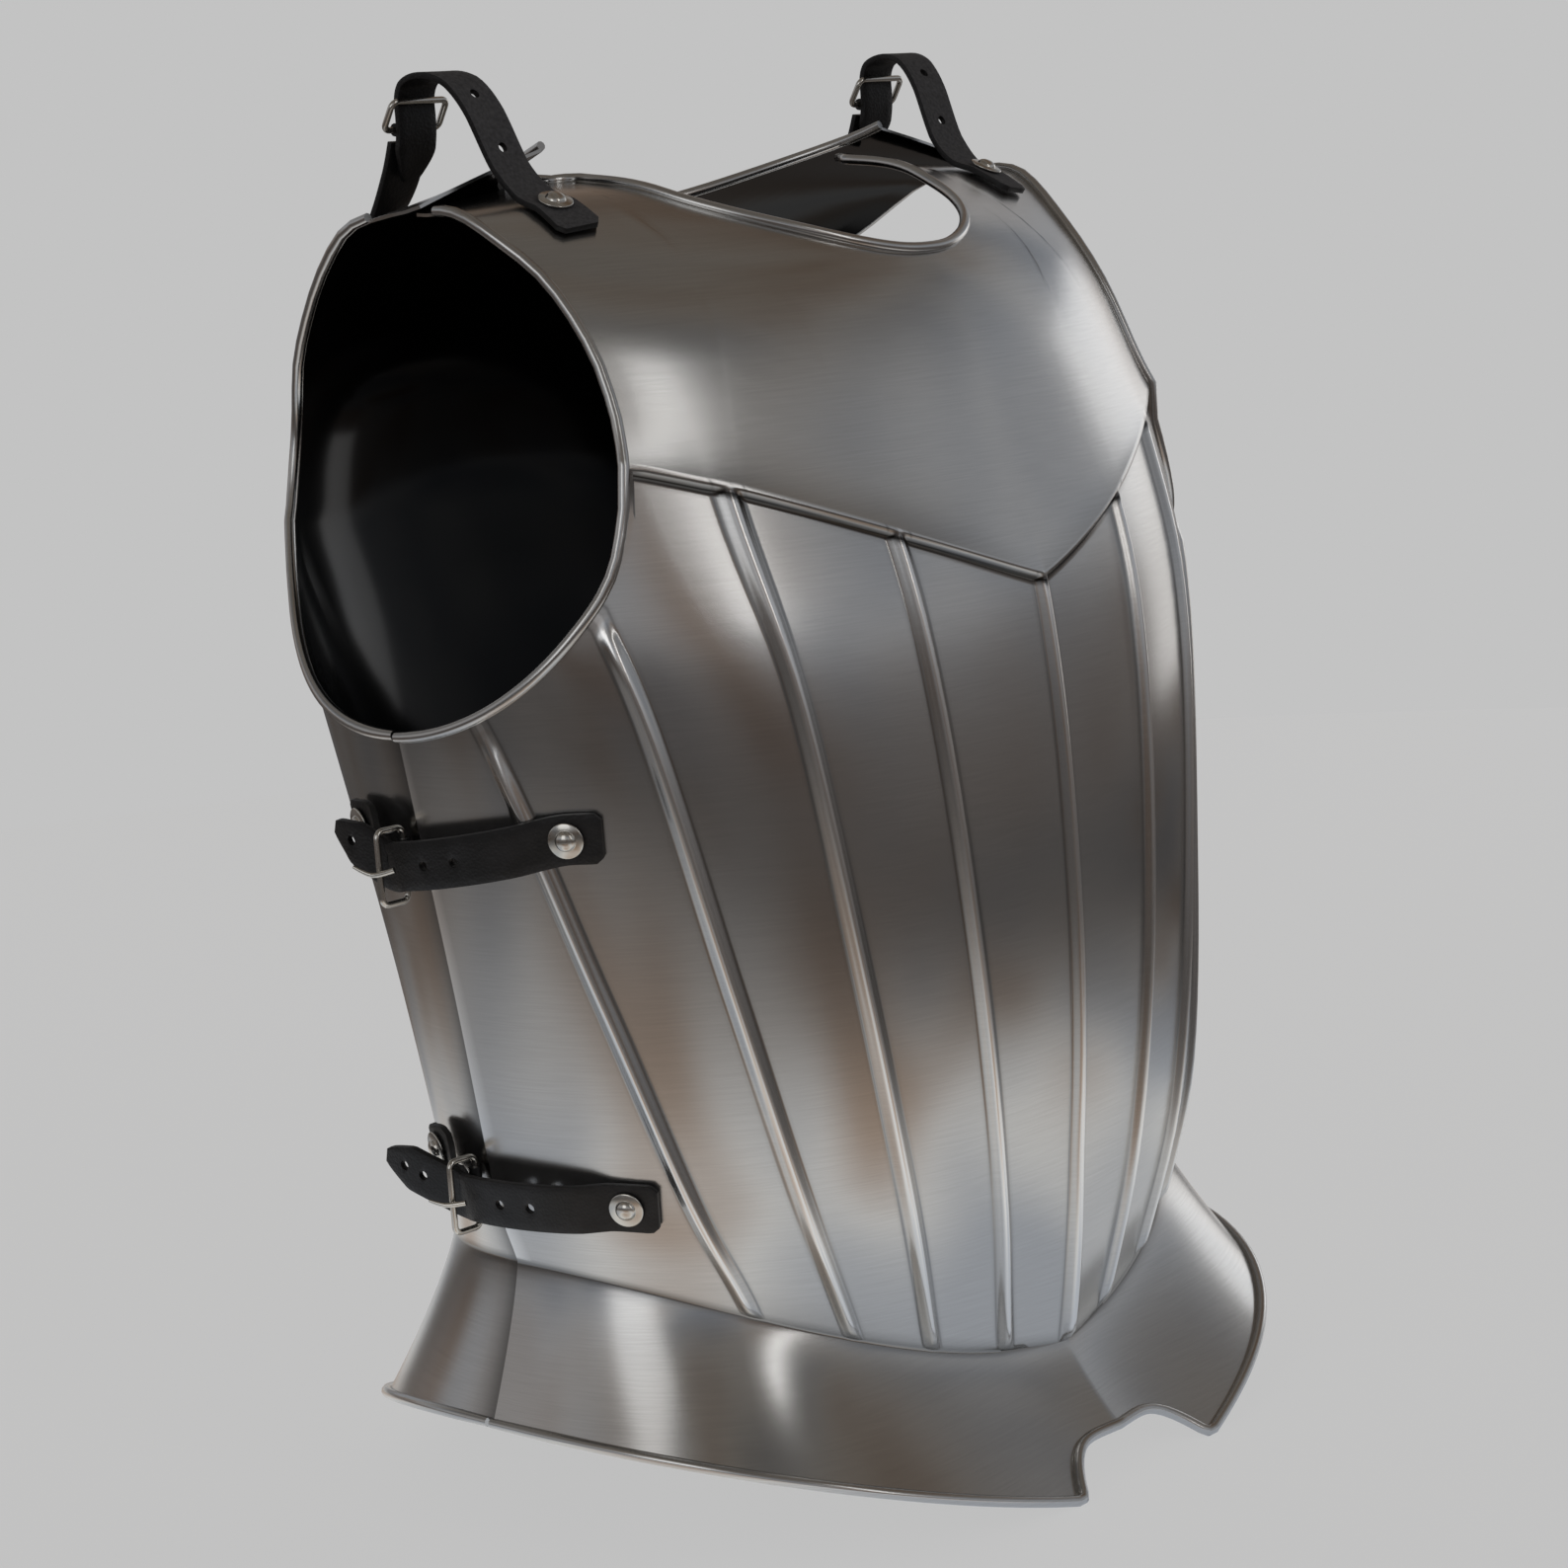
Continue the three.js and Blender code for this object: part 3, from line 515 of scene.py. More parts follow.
def site(plate, angle, height, relief=0):
    """A place on a plate and its outward direction, moved to where the body stands."""
    direction = surface_normal(angle, height)
    if height == 0:
        direction = (direction + surface_normal(angle, -0.05)).normalized()
    point = surface_at(angle, height)
    if plate["middle"] == 0 and height > 0:
        relief = max(relief, chevron_relief(point))
    return point + direction * (relief - plate["inset"]) + STAND, direction


def skirt_reach(angle):
    """The share of the skirt's drop that is kept: two scallops meet in a cusp at the middle."""
    if angle >= NOTCH["angle"]:
        return 1
    along = angle / NOTCH["angle"]
    scallop = NOTCH["scallop"] * 4 * along * (1 - along) * (0.4 + 0.6 * along)
    return 1 - NOTCH["cusp"] * (1 - along) - scallop


def crease(plate, angle, height):
    """The two halves of the waist and the skirt meet in a crease down the middle of the front."""
    if plate["middle"] or height > CREASE["top"]:
        return 0
    depth = CREASE["waist"] * (1 - smooth(height, 0, CREASE["top"]))
    if height < 0:
        depth += (CREASE["rim"] - CREASE["waist"]) * -height
    return depth * math.exp(-angle / CREASE["spread"])


print("rows:", len(SKIRT_PARTS), "skirt,", len(BODY_PARTS), "body,", len(SHOULDER_ROWS), "shoulder")

# %% [markdown]
# ## The shoulder
# Above the V band the columns swing inwards to the neck and the end of the shoulder tab. The top edge
# is worked out first, then the outer edge, and the sheet is stretched between them.

# %% Edges of the shoulder
NECK_SHARE = 0.7  # of the columns; the others end on the tab


def neck_target(plate, turn):
    """A place on the neck's edge, seen from above; 0 degrees is its middle."""
    y, half, depth = plate["neck"]
    return math.sin(math.radians(turn)) * half, y + math.cos(math.radians(turn)) * depth


def shoulder_top(plate, count):
    """The top edge of the shoulder: along the neck, then along the end of the tab."""
    neck_count = round(count * NECK_SHARE)

    def beyond(turn):
        x, y = neck_target(plate, turn)
        return body_point(angle_at_reach(plate, x, TOP_LEVEL), TOP_LEVEL).y - y

    end_turn = root(beyond, 30, 150)
    top = [place_over(plate, *neck_target(plate, end_turn * i / neck_count)) for i in range(neck_count + 1)]
    start = top[-1][0]
    finish = angle_at_reach(plate, plate["reaches"][-1], TOP_LEVEL)
    tab_count = count - neck_count
    top += [(start + (finish - start) * (i + 1) / tab_count, TOP_LEVEL) for i in range(tab_count)]
    return top, neck_count


def shoulder_reach(plate, corner_reach, part):
    """How far the shoulder's edge stands from the middle, on a smooth curve through the table."""
    reaches = (corner_reach,) + plate["reaches"]
    stops = SHOULDER_PARTS
    k = next(i for i, stop in enumerate(stops) if stop >= part and i > 0)

    def slope(i):
        low, high = max(i - 1, 0), min(i + 1, len(stops) - 1)
        return (reaches[high] - reaches[low]) / (stops[high] - stops[low])

    span = stops[k] - stops[k - 1]
    t = (part - stops[k - 1]) / span
    ends = reaches[k - 1] * (1 + 2 * t) * (1 - t) ** 2 + reaches[k] * t * t * (3 - 2 * t)
    return ends + span * t * (1 - t) * (slope(k - 1) * (1 - t) - slope(k) * t)


for side, plate in PLATES.items():
    print(side, "shoulder tab reaches", plate["reaches"][-1], "mm from the middle")

# %% [markdown]
# ## Rounded corners
# A rolled edge can't turn a sharp corner, so the armhole's edge and the corner of the tab are eased,
# as a file would do it: each place near the corner moves towards the chord between its neighbours, and
# the sheet beside it follows a little.

# %% Rounding
ARMHOLE_ROUNDING = (60, 20)  # how far from the corner the rounding reaches, and its chord
TAB_ROUNDING = (30, 16)
ROUNDING_PASSES = 3
FOLLOW = 6  # the power by which the rounding fades into the sheet


def corner_shifts(chain, corner, rounding):
    """How far each place near a corner of an edge moves along the surface to make the corner round."""
    reach, chord_length = rounding
    run = [0]
    for (before, _), (after, _) in zip(chain, chain[1:]):
        run.append(run[-1] + (after - before).length)
    run = [along - run[corner] for along in run]

    def at(along):
        k = max(i for i, start in enumerate(run[:-1]) if start <= along or i == 0)
        return chain[k][0].lerp(chain[k + 1][0], (along - run[k]) / max(run[k + 1] - run[k], 1e-6))

    shifts = []
    for (point, direction), along in zip(chain, run):
        near = max(1 - abs(along) / reach, 0)
        chord = chord_length * (0.4 + 0.6 * near)
        shift = (at(along - chord).lerp(at(along + chord), 0.5) - point) * smooth(near, 0, 0.8)
        shifts.append(shift - direction * shift.dot(direction) if near else Vector())
    return shifts


def round_corner(sites):
    """Rounds the armhole's edge where the body meets the shoulder; the sheet near it follows."""
    body, shoulder, corner = sites["body"], sites["shoulder"], sites["corner"]
    last = len(body[-1]) - 1
    chain = body[-1][:corner:-1] + [row[-1] for row in shoulder]
    shifts = corner_shifts(chain, last - corner, ARMHOLE_ROUNDING)
    body_shifts = shifts[last - corner::-1]
    for row, part in zip(body, BODY_PARTS):
        follow = smooth(part, 0.7, 1)
        for k, (point, direction) in enumerate(row):
            share = (k / corner) ** FOLLOW if k < corner else 1
            row[k] = (point + body_shifts[max(k - corner, 0)] * share * follow, direction)
    for row, shift in zip(shoulder, shifts[last - corner:]):
        for k, (point, direction) in enumerate(row):
            row[k] = (point + shift * (k / corner) ** FOLLOW, direction)


def round_tab(sites):
    """Rounds the corner between the neck's edge and the end of the shoulder tab."""
    shoulder = sites["shoulder"]
    shifts = corner_shifts(shoulder[-1], sites["neck"], TAB_ROUNDING)
    for row, part in zip(shoulder, SHOULDER_ROWS):
        for k, (point, direction) in enumerate(row):
            row[k] = (point + shifts[k] * part ** FOLLOW, direction)


print("the armhole is eased over", 2 * ARMHOLE_ROUNDING[0], "mm, the tab over", 2 * TAB_ROUNDING[0], "mm")

# %% [markdown]
# ## Painted shade in the creases, and bright crests
# The creases are darkened with painted shade, where the relief would throw its shadow. The crests of the
# ribs are painted brighter, partly as wear from the polishing wheel and partly as a painted highlight.
# Each vertex keeps a number for that, which the steel's finish reads: 1 deep in a crease, -1 on a crest.

# %% Painted shade and bright crests
# painted shade: how dark each recess is painted, where it lies and how far it spreads: in levels for
# the waist, in degrees for the backplate beside its neighbour's edge, in millimetres for the V band's
# foot and the ribs' feet
SHADE_PAINT = {"waist": (0.5, 0, 0.05), "lap": (0.9, 88, 4.5), "band": (1, -2.5, 1.5), "rib": (0.45, 4.3, 0.7)}
# crests are painted brighter: partly wear from the polishing wheel, partly a painted highlight
CREST = {"depth": -1, "half_width": 1, "clear": 0.1}  # only where no recess is deeper than clear


def painted_shade(kind, value):
    """How much painted shade of a kind a place gets, fading to nothing a few spreads away from its middle."""
    depth, middle, spread = SHADE_PAINT[kind]
    return depth * math.exp(-((value - middle) / spread) ** 2)


def shade_and_sheen_at(plate, column, angle, height, point):
    """How much painted shade a place gets in the waist's fold, at the foot of the V band or beside a rib.

    It is -1 along the crest of a rib, painted brighter: partly wear from the polishing wheel, partly a
    painted highlight."""
    depth = painted_shade("waist", height)
    if plate["middle"]:
        return max(depth, painted_shade("lap", angle))
    left, right, share = column
    if height > 0:
        above = point.z - STAND.z - chevron_height(point.x)
        depth = max(depth, painted_shade("band", above))
        if not share and left[0] == int(left[0]):
            depth = max(depth, painted_shade("rib", abs(left[1])))
            # painted highlight on the crest, partly wear from the polishing wheel
            if depth < CREST["clear"] and abs(left[1]) < CREST["half_width"]:
                depth = CREST["depth"]
    return depth


def shade_and_sheen_rows(plate, rows, heights):
    """The painted shade of each site in rows, or its crest brightening, from the heights they stand at."""
    result = []
    for row, level_row in zip(rows, heights):
        result.append([
            shade_and_sheen_at(plate, column, column_angle(plate, column, max(level, 0)), level, place[0])
            for place, column, level in zip(row, plate["columns"], level_row)
        ])
    return result


# painted shade beside a rib is darkest this far from its crest
print("beside a rib the grime is darkest", SHADE_PAINT["rib"][1], "mm from its crest")

# %% [markdown]
# ## Rows of places
# All the places of half a plate are worked out in rows, from the waist down for the skirt and up for
# the body and the shoulder. Neighbouring grids share their first row, so that they weld.

# %% Rows


def body_rows(plate, ends):
    """From the waist up to the V band or the armhole."""
    rows = []
    for part in BODY_PARTS:
        row = []
        for column, end in zip(plate["columns"], ends):
            level = end * part
            angle = column_angle(plate, column, level)
            relief = rib_relief(column, level, end) if plate["middle"] == 0 else 0
            row.append(site(plate, angle, level, relief + crease(plate, angle, level)))
        rows.append(row)
    return rows


def skirt_rows(plate):
    """From the waist down to the rim."""
    rows = []
    for part in SKIRT_PARTS:
        row = []
        for column in plate["columns"]:
            angle = column_angle(plate, column, 0)
            height = -part * (skirt_reach(angle) if plate["middle"] == 0 else 1)
            row.append(site(plate, angle, height, crease(plate, angle, height)))
        rows.append(row)
    return rows


def shoulder_rows(plate, low, high):
    """From the body's last row, low, up to the neck and the tab's end, high."""
    corner = len(low) - 1
    corner_reach = body_point(*low[corner]).x
    rows = []
    for part in SHOULDER_ROWS:
        edge_level = low[corner][1] + (TOP_LEVEL - low[corner][1]) * part
        edge_angle = angle_at_reach(plate, shoulder_reach(plate, corner_reach, part), edge_level)
        row = []
        for i in range(corner + 1):
            place = []
            for k, edge in enumerate((edge_angle, edge_level)):
                rise = low[i][k] + (high[i][k] - low[i][k]) * part
                straight = low[corner][k] + (high[corner][k] - low[corner][k]) * part
                place.append(rise + i / corner * (edge - straight))
            row.append(site(plate, *(place if part else low[i])))
        rows.append(row)
    return rows


def plate_sites(plate):
    """Rows of sites for the skirt, the body and the shoulder, on the side at +X."""
    columns = plate["columns"]
    ends = [column_end(plate, column)[0] for column in columns]
    corner = next(i for i, (left, right, share) in enumerate(columns) if left[0] == plate["corner"])
    low = [(column_angle(plate, columns[i], ends[i]), ends[i]) for i in range(corner + 1)]
    high, neck_count = shoulder_top(plate, corner)
    sites = {"skirt": skirt_rows(plate), "body": body_rows(plate, ends), "corner": corner, "neck": neck_count}
    sites["shoulder"] = shoulder_rows(plate, low, high)
    body_heights = [[end * part for end in ends] for part in BODY_PARTS]
    skirt_heights = [[-part] * len(columns) for part in SKIRT_PARTS]
    # painted shade in the creases and painted brightening on the rib crests, per place
    sites["recess"] = {
        "body": shade_and_sheen_rows(plate, sites["body"], body_heights),
        "skirt": shade_and_sheen_rows(plate, sites["skirt"], skirt_heights),
        "shoulder": [[0.0] * (corner + 1) for part in SHOULDER_ROWS],
    }
    before = sites["body"][-1][corner][0].copy()
    for _ in range(ROUNDING_PASSES):
        round_corner(sites)
    sites["eased"] = (sites["body"][-1][corner][0] - before).length
    if plate["middle"] == 0:
        round_tab(sites)
    return sites


for side, plate in PLATES.items():
    plate["sites"] = plate_sites(plate)
    places = sum(len(row) for part in GRIDS for row in plate["sites"][part])
    print(side, "half:", places, "places; corner eased by", round(plate["sites"]["eased"], 1), "mm")

# %% [markdown]
# ## Rolled edges
# The rim, the armholes and the neck are rolled over so that the sheet doesn't cut, which leaves a
# round bead along the edge. It could be an edge of the sheet extruded and curled, but a bar along the
# edge's own places is as round and far simpler. The sheet's edge is drawn out to end inside the bar,
# and the two are joined.

# %% Beads
BEAD_END = 0.85  # the armhole's bead ends on this part of the shoulder, before the tab's end
TUCKED_COLUMNS = 3  # the backplate's columns that lie under the breastplate have no bead
BEAD_OUT = 3.22  # how far outside the sheet's edge the bead's middle lies
DRAWN_OUT = 2.6  # how far the edge is then drawn out, to end inside the bead


def rolled_edges(side, sites):
    """For each rolled edge of a half plate, where its places are kept and the places inside them."""
    skirt, body, shoulder = sites["skirt"], sites["body"], sites["shoulder"]
    tucked = TUCKED_COLUMNS if side == "back" else 0
    round_the_tab = 6 if side == "front" else 1
    below_corner = range(len(body[-1]) - 1, sites["corner"], -1)
    armhole = [((body[-1], k), (body[-4], k)) for k in below_corner]
    armhole += [((row, -1), (row, -3)) for row, part in zip(shoulder, SHOULDER_ROWS) if part < BEAD_END]
    return {
        "rim": [((skirt[-1], i), (skirt[-2], i)) for i in range(len(skirt[-1]) - tucked)],
        "armhole": armhole[tucked:],
        "neck": [((shoulder[-1], i), (shoulder[-2], i)) for i in range(sites["neck"] + round_the_tab)],
    }


def outwards(edge):
    """For each place of an edge, the direction that leads out of the sheet."""
    places = [row[k][0] for (row, k), inner in edge]
    directions = []
    for i, ((row, k), (inner_row, inner_k)) in enumerate(edge):
        point, direction = row[k]
        tangent = places[min(i + 1, len(places) - 1)] - places[max(i - 1, 0)]
        out = tangent.cross(direction)
        if out.dot(inner_row[inner_k][0] - point) > 0:
            out = -out
        if abs(point.x) < 0.01:
            out.x = 0
        directions.append(out.normalized())
    return directions


def bead_path(edge):
    """The middle of the bead beside each place of an edge."""
    path = []
    for ((row, k), inner), out in zip(edge, outwards(edge)):
        point, direction = row[k]
        path.append(point + out * BEAD_OUT + direction * (BEAD_RADIUS - SHEET))
    return path


def draw_out(side, sites):
    """Draws the rolled edges of the sheet out into their beads, so that each bead holds its edge."""
    for edge in rolled_edges(side, sites).values():
        for ((row, k), inner), out in zip(edge, outwards(edge)):
            point, direction = row[k]
            row[k] = (point + out * DRAWN_OUT, direction)
    sites["body"][-1][sites["corner"]] = sites["shoulder"][0][-1]


def mirrored(path):
    return [Vector((-place.x, place.y, place.z)) for place in path]


def bead_widths(count):
    """Shares of the bead's radius along it: a little thinner at both ends."""
    return [0.85 + 0.15 * min(i, count - 1 - i, 3) / 3 for i in range(count)]


def make_beads(side, sites):
    """The beads of a whole plate: rim and neck run across the middle, the armholes are a pair."""
    rim, armhole, neck = (bead_path(edge) for edge in rolled_edges(side, sites).values())
    paths = {
        "rim": mirrored(rim)[:0:-1] + rim, "armhole_left": armhole, "armhole_right": mirrored(armhole),
        "neck": mirrored(neck)[:0:-1] + neck,
    }
    beads = []
    for edge, path in paths.items():
        bead = bar_along(f"{side}_{edge}", path, BEAD_RADIUS, bead_widths(len(path)), steel, roundness=3)
        finish_mesh(bead, 50)
        length = sum((after - before).length for before, after in zip(path, path[1:]))
        print(side, edge, "bead:", round(length), "mm long")
        beads.append(bead)
    return beads


print("beads:", 2 * BEAD_RADIUS, "mm thick")

# %% [markdown]
# ## Finishes
# A finish is a small tree of nodes: patterns that are laid through the metal or leather in object
# coordinates, and ramps that turn them into colour or gloss. Every colour is written as a hex value
# and turned linear by one function, and one function adds each node with its settings and links.

# %% Material tools


def linear(hex_colour):
    """An sRGB hex colour as linear RGBA."""
    channels = [int(hex_colour[i:i + 2], 16) / 255 for i in (1, 3, 5)]
    return [c / 12.92 if c <= 0.04045 else ((c + 0.055) / 1.055) ** 2.4 for c in channels] + [1]


def add_node(tree, kind, links=(), **settings):
    """Adds a node; settings go to its fields or sockets, and links join outputs to its inputs."""
    node = tree.nodes.new(kind)
    for key, value in settings.items():
        if hasattr(node, key):
            setattr(node, key, value)
        else:
            node.inputs[key.replace("_", " ")].default_value = value
    for source, socket in links:
        tree.links.new(source, node.inputs[socket])
    return node


def new_material(name):
    """A node material with its tree, its shader and the object coordinates."""
    material = bpy.data.materials.new(name)
    material.use_nodes = True
    tree = material.node_tree
    place = add_node(tree, "ShaderNodeTexCoord").outputs["Object"]
    return material, tree, tree.nodes["Principled BSDF"], place


def set_shader(shader, **settings):
    """Sets a shader's sockets by name."""
    for key, value in settings.items():
        shader.inputs[key.replace("_", " ")].default_value = value


def wandering(tree, pattern, socket, low, high):
    """Lets a socket wander between two values with a pattern."""
    span = add_node(tree, "ShaderNodeMapRange", [(pattern.outputs[0], "Value")])
    span.inputs["To Min"].default_value = low
    span.inputs["To Max"].default_value = high
    tree.links.new(span.outputs[0], socket)


def bumped(tree, shader, pattern, strength, distance):
    """Lets a pattern raise the surface; the distance is in metres."""
    height = [(pattern.outputs[0], "Height")]
    bump = add_node(tree, "ShaderNodeBump", height, Strength=strength, Distance=distance)
    tree.links.new(bump.outputs[0], shader.inputs["Normal"])


def tone_ramp(tree, source, stops):
    """A colour ramp over a node's first output; a stop is a position and a hex colour."""
    ramp = add_node(tree, "ShaderNodeValToRGB", [(source.outputs[0], "Fac")])
    while len(ramp.color_ramp.elements) < len(stops):
        ramp.color_ramp.elements.new(0.5)
    for element, (position, colour) in zip(ramp.color_ramp.elements, stops):
        element.position = position
        element.color = linear(colour)
    return ramp.outputs["Color"]


def mixed(tree, factor, first, second, blend="MIX"):
    """Two colours mixed by a factor; each is a node's output or a linear colour."""
    mix = add_node(tree, "ShaderNodeMix", data_type="RGBA", blend_type=blend)
    for socket, value in (("Factor", factor), ("A", first), ("B", second)):
        if isinstance(value, bpy.types.NodeSocket):
            tree.links.new(value, mix.inputs[socket])
        else:
            mix.inputs[socket].default_value = value
    return mix.outputs["Result"]


print("mid grey #808080 is", round(linear("#808080")[0], 3), "in linear light")

# %% [markdown]
# ## Steel
# The plates are mild steel, ground and then polished by hand with a fine brush. The brush's lines
# stretch each reflection a little, and the hand leaves soft smudges where the gloss wanders. Real lines
# are about 0.1 mm apart, too fine to show at this distance, so they are drawn 0.4 mm apart. Bare metal
# has no colour of its own apart from a warm grey, so most of what the eye sees is the room in it. Painted
# shade in the creases and crests painted brighter, partly by wear and partly as a painted highlight,
# make the relief readable.

# %% Steel
BRUSH_LINES = (50, 50, 2400)  # lines about 0.4 mm apart and 20 mm long, coarser than real ones to show


def make_brushed_steel():
    """Reflections that are soft, slightly stretched and uneven, as on a hand-polished plate."""
    material, tree, shader, place = new_material("hand_polished_steel")
    set_shader(shader, Metallic=1.0, Anisotropic=0.35)
    lines = add_node(tree, "ShaderNodeMapping", [(place, "Vector")], Scale=BRUSH_LINES)
    streaks = add_node(tree, "ShaderNodeTexNoise", [(lines.outputs[0], "Vector")], Scale=1.0, Detail=2.0)
    smudges = add_node(tree, "ShaderNodeTexNoise", [(place, "Vector")], Scale=7.0, Detail=1.0, Roughness=0.4)
    wandering(tree, smudges, shader.inputs["Roughness"], 0.17, 0.27)
    bare = tone_ramp(tree, streaks, ((0.3, "#c9c8c6"), (0.7, "#d0cfcd")))
    # the attribute holds painted shade in the creases (above 0) and, below 0, crests painted brighter
    recess = add_node(tree, "ShaderNodeAttribute", attribute_name="recess").outputs["Fac"]
    crest = add_node(tree, "ShaderNodeMath", [(recess, 0)], operation="MULTIPLY", use_clamp=True)
    crest.inputs[1].default_value = -1
    rubbed_and_sheen = mixed(tree, crest.outputs[0], bare, linear("#f4f3f1"))  # crests painted brighter: partly wear from the wheel, partly a painted highlight
    with_painted_shade = mixed(tree, recess, rubbed_and_sheen, linear("#15130f"))  # painted shade in the creases
    tree.links.new(with_painted_shade, shader.inputs["Base Color"])
    return material


steel = make_brushed_steel()
print("finish:", steel.name, "with lines", round(1000 / BRUSH_LINES[2], 2), "mm apart")

# %% [markdown]
# ## Black lacquer
# The inside is painted against rust with a gloss black paint. It drinks nearly all the light, so the
# openings look deep and empty, and gives back only thin, clear reflections that ripple where the paint
# ran a little.

# %% Black lacquer


def make_black_lacquer():
    """Deep black with faint, clear reflections that ripple every 30 mm or so."""
    material, tree, shader, place = new_material("black_lacquer")
    set_shader(shader, Base_Color=linear("#030303"), Roughness=0.12, IOR=1.45, Specular_IOR_Level=0.14)
    ripple = add_node(tree, "ShaderNodeTexNoise", [(place, "Vector")], Scale=30.0, Detail=1.0)
    bumped(tree, shader, ripple, 0.1, 0.001)
    return material


lacquer = make_black_lacquer()
print("finish:", lacquer.name)

# %% [markdown]
# ## Raising the plates
# Three grids (skirt, body, shoulder) are laid on their rows and joined. Mirror makes the other half,
# the shared edges are welded, and Solidify gives the sheet its 1.2 mm towards the inside, with the
# lacquer in a slot of its own. The rolled beads are joined last, so that they stay round.

# %% Plates


def half_sheet(sites, name):
    """Skirt, body and shoulder of the side at +X in one mesh."""
    grids = []
    for part in GRIDS:
        rows = [[place for place, direction in row] for row in sites[part]]
        grids.append(formed_grid(part, rows, sites["recess"][part]))
    return join(grids, name)


def close_middle(sheet):
    """Mirrors the half, welds the seams and turns the outside outwards."""
    apply_modifier(sheet, "MIRROR", use_axis=(True, False, False), use_clip=True)
    for vertex in sheet.data.vertices:
        if abs(vertex.co.x) < 0.01 * MM:
            vertex.co.x = 0
    weld(sheet)
    bpy.ops.object.mode_set(mode="EDIT")
    bpy.ops.mesh.select_all(action="SELECT")
    bpy.ops.mesh.normals_make_consistent(inside=False)
    bpy.ops.object.mode_set(mode="OBJECT")
    outermost = max(sheet.data.polygons, key=lambda face: abs(face.center.y))
    if outermost.normal.y * outermost.center.y < 0:
        sheet.data.flip_normals()


def make_plate(side, node):
    """A plate's sheet and beads, joined into the piece that takes a node's place."""
    sites = PLATES[side]["sites"]
    beads = make_beads(side, sites)
    draw_out(side, sites)
    sheet = half_sheet(sites, f"{node}_sheet")
    close_middle(sheet)
    sheet.data.materials.append(steel)
    sheet.data.materials.append(lacquer)
    apply_modifier(sheet, "SOLIDIFY", thickness=SHEET * MM, offset=-1, material_offset=1)
    finish_mesh(sheet, 50)
    plate = join([sheet] + beads, f"{node}_shell")
    for vertex in plate.data.vertices:
        vertex.co.z = max(vertex.co.z, 0)  # the tips of the rim rest on the ground
    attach(plate, "root")
    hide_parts(node)
    print(plate.name, len(plate.data.polygons), "faces")


make_plate("front", "breastplate")
make_plate("back", "backplate")

# %% [markdown]
# ## Leather
# Straps are cut from black bridle leather. Its grain side is dyed, waxed and pressed smooth, and greys
# a little where it is handled. The flesh side underneath is matt, grey and slightly hairy, and shows
# only where a strap turns over. Real pores and hairs are under half a millimetre apart, so both are
# drawn two or three times as coarse, or they wouldn't show.

# %% Leather


def make_grain_leather():
    """A low, waxy gloss that is broken up by fine pores, over a black that wears to dark grey."""
    material, tree, shader, place = new_material("black_bridle_leather")
    set_shader(shader, Roughness=0.46, IOR=1.45)
    pores = add_node(tree, "ShaderNodeTexVoronoi", [(place, "Vector")], Scale=900.0)
    wear = add_node(tree, "ShaderNodeTexNoise", [(place, "Vector")], Scale=120.0, Detail=5.0)
    tree.links.new(tone_ramp(tree, wear, ((0.4, "#121213"), (0.8, "#222224"))), shader.inputs["Base Color"])
    bumped(tree, shader, pores, 0.35, 0.0003)
    return material


def make_flesh_leather():
    """A dull grey nap that catches no highlight, so a turned strap reads as leather."""
    material, tree, shader, place = new_material("grey_flesh_leather")
    set_shader(shader, Roughness=0.85, IOR=1.45)
    fibres = add_node(tree, "ShaderNodeTexNoise", [(place, "Vector")], Scale=700.0, Detail=4.0)
    tree.links.new(tone_ramp(tree, fibres, ((0, "#2e2e30"), (1, "#6a6a6c"))), shader.inputs["Base Color"])
    bumped(tree, shader, fibres, 0.5, 0.0004)
    return material


leather = make_grain_leather()
flesh = make_flesh_leather()
print("finishes:", leather.name, flesh.name)

# %% [markdown]
# ## Nickel
# Buckles and rivets are brass or steel plated with nickel. The plate is a shade warmer and brighter
# than the steel, and clear enough to show small crisp highlights between faint handling marks.

# %% Nickel


def make_nickel():
    """Small bright highlights with a faint haze of handling marks a few millimetres apart."""
    material, tree, shader, place = new_material("bright_nickel")
    set_shader(shader, Metallic=1.0, Base_Color=linear("#d8d5ce"))
    marks = add_node(tree, "ShaderNodeTexNoise", [(place, "Vector")], Scale=400.0, Detail=3.0)
    wandering(tree, marks, shader.inputs["Roughness"], 0.1, 0.28)
    return material


nickel = make_nickel()
print("finish:", nickel.name)

# %% [markdown]
# ## Paths of the straps
# A side strap is riveted to the breastplate, stands off over the seam, goes through its buckle and
# comes out again. A shoulder strap climbs from the breastplate's tab, goes over the top and down
# through a buckle held by a folded chape on the backplate. Stops along the way give each path.

# %% Paths
STRAP = {"width": 18, "thickness": 2.2}
# a side stop is degrees behind the seam and millimetres off the body; a shoulder stop is a place in
# millimetres, with no height where it lies on a plate
ON_FRONT = 2.1
ON_BACK = 0.9
ABOVE = STRAP["thickness"] / 2 + 0.5
SIDE_STRAP = (
    (-27.5, ON_FRONT), (-22.5, ON_FRONT), (-19.8, 2.7), (-16, 6.6), (-10, 9), (-3, 10), (1, 9.6),
    (3, 8.8), (5.5, 9.8),
)
SIDE_CHAPE = ((7, 3.8), (8.4, 2.7), (10, ON_BACK), (13, ON_BACK), (16, ON_BACK))
SIDE_SETS = {
    "upper": {
        "level": 2.6, "hang": 0.1, "chape_rise": 0.11, "chape_lift": 0.9,
        "tip": ((9, 12), (12, 13)), "holes": (0.46, 0.6, 0.92),
    },
    "lower": {
        "level": 1.02, "hang": 0, "chape_rise": 0.2, "chape_lift": 1.7,
        "tip": ((9, 12.4), (13, 16), (17, 20)), "holes": (0.4, 0.52, 0.84, 0.92),
    },
}
SIDE_FRAME = (3, 8.4)
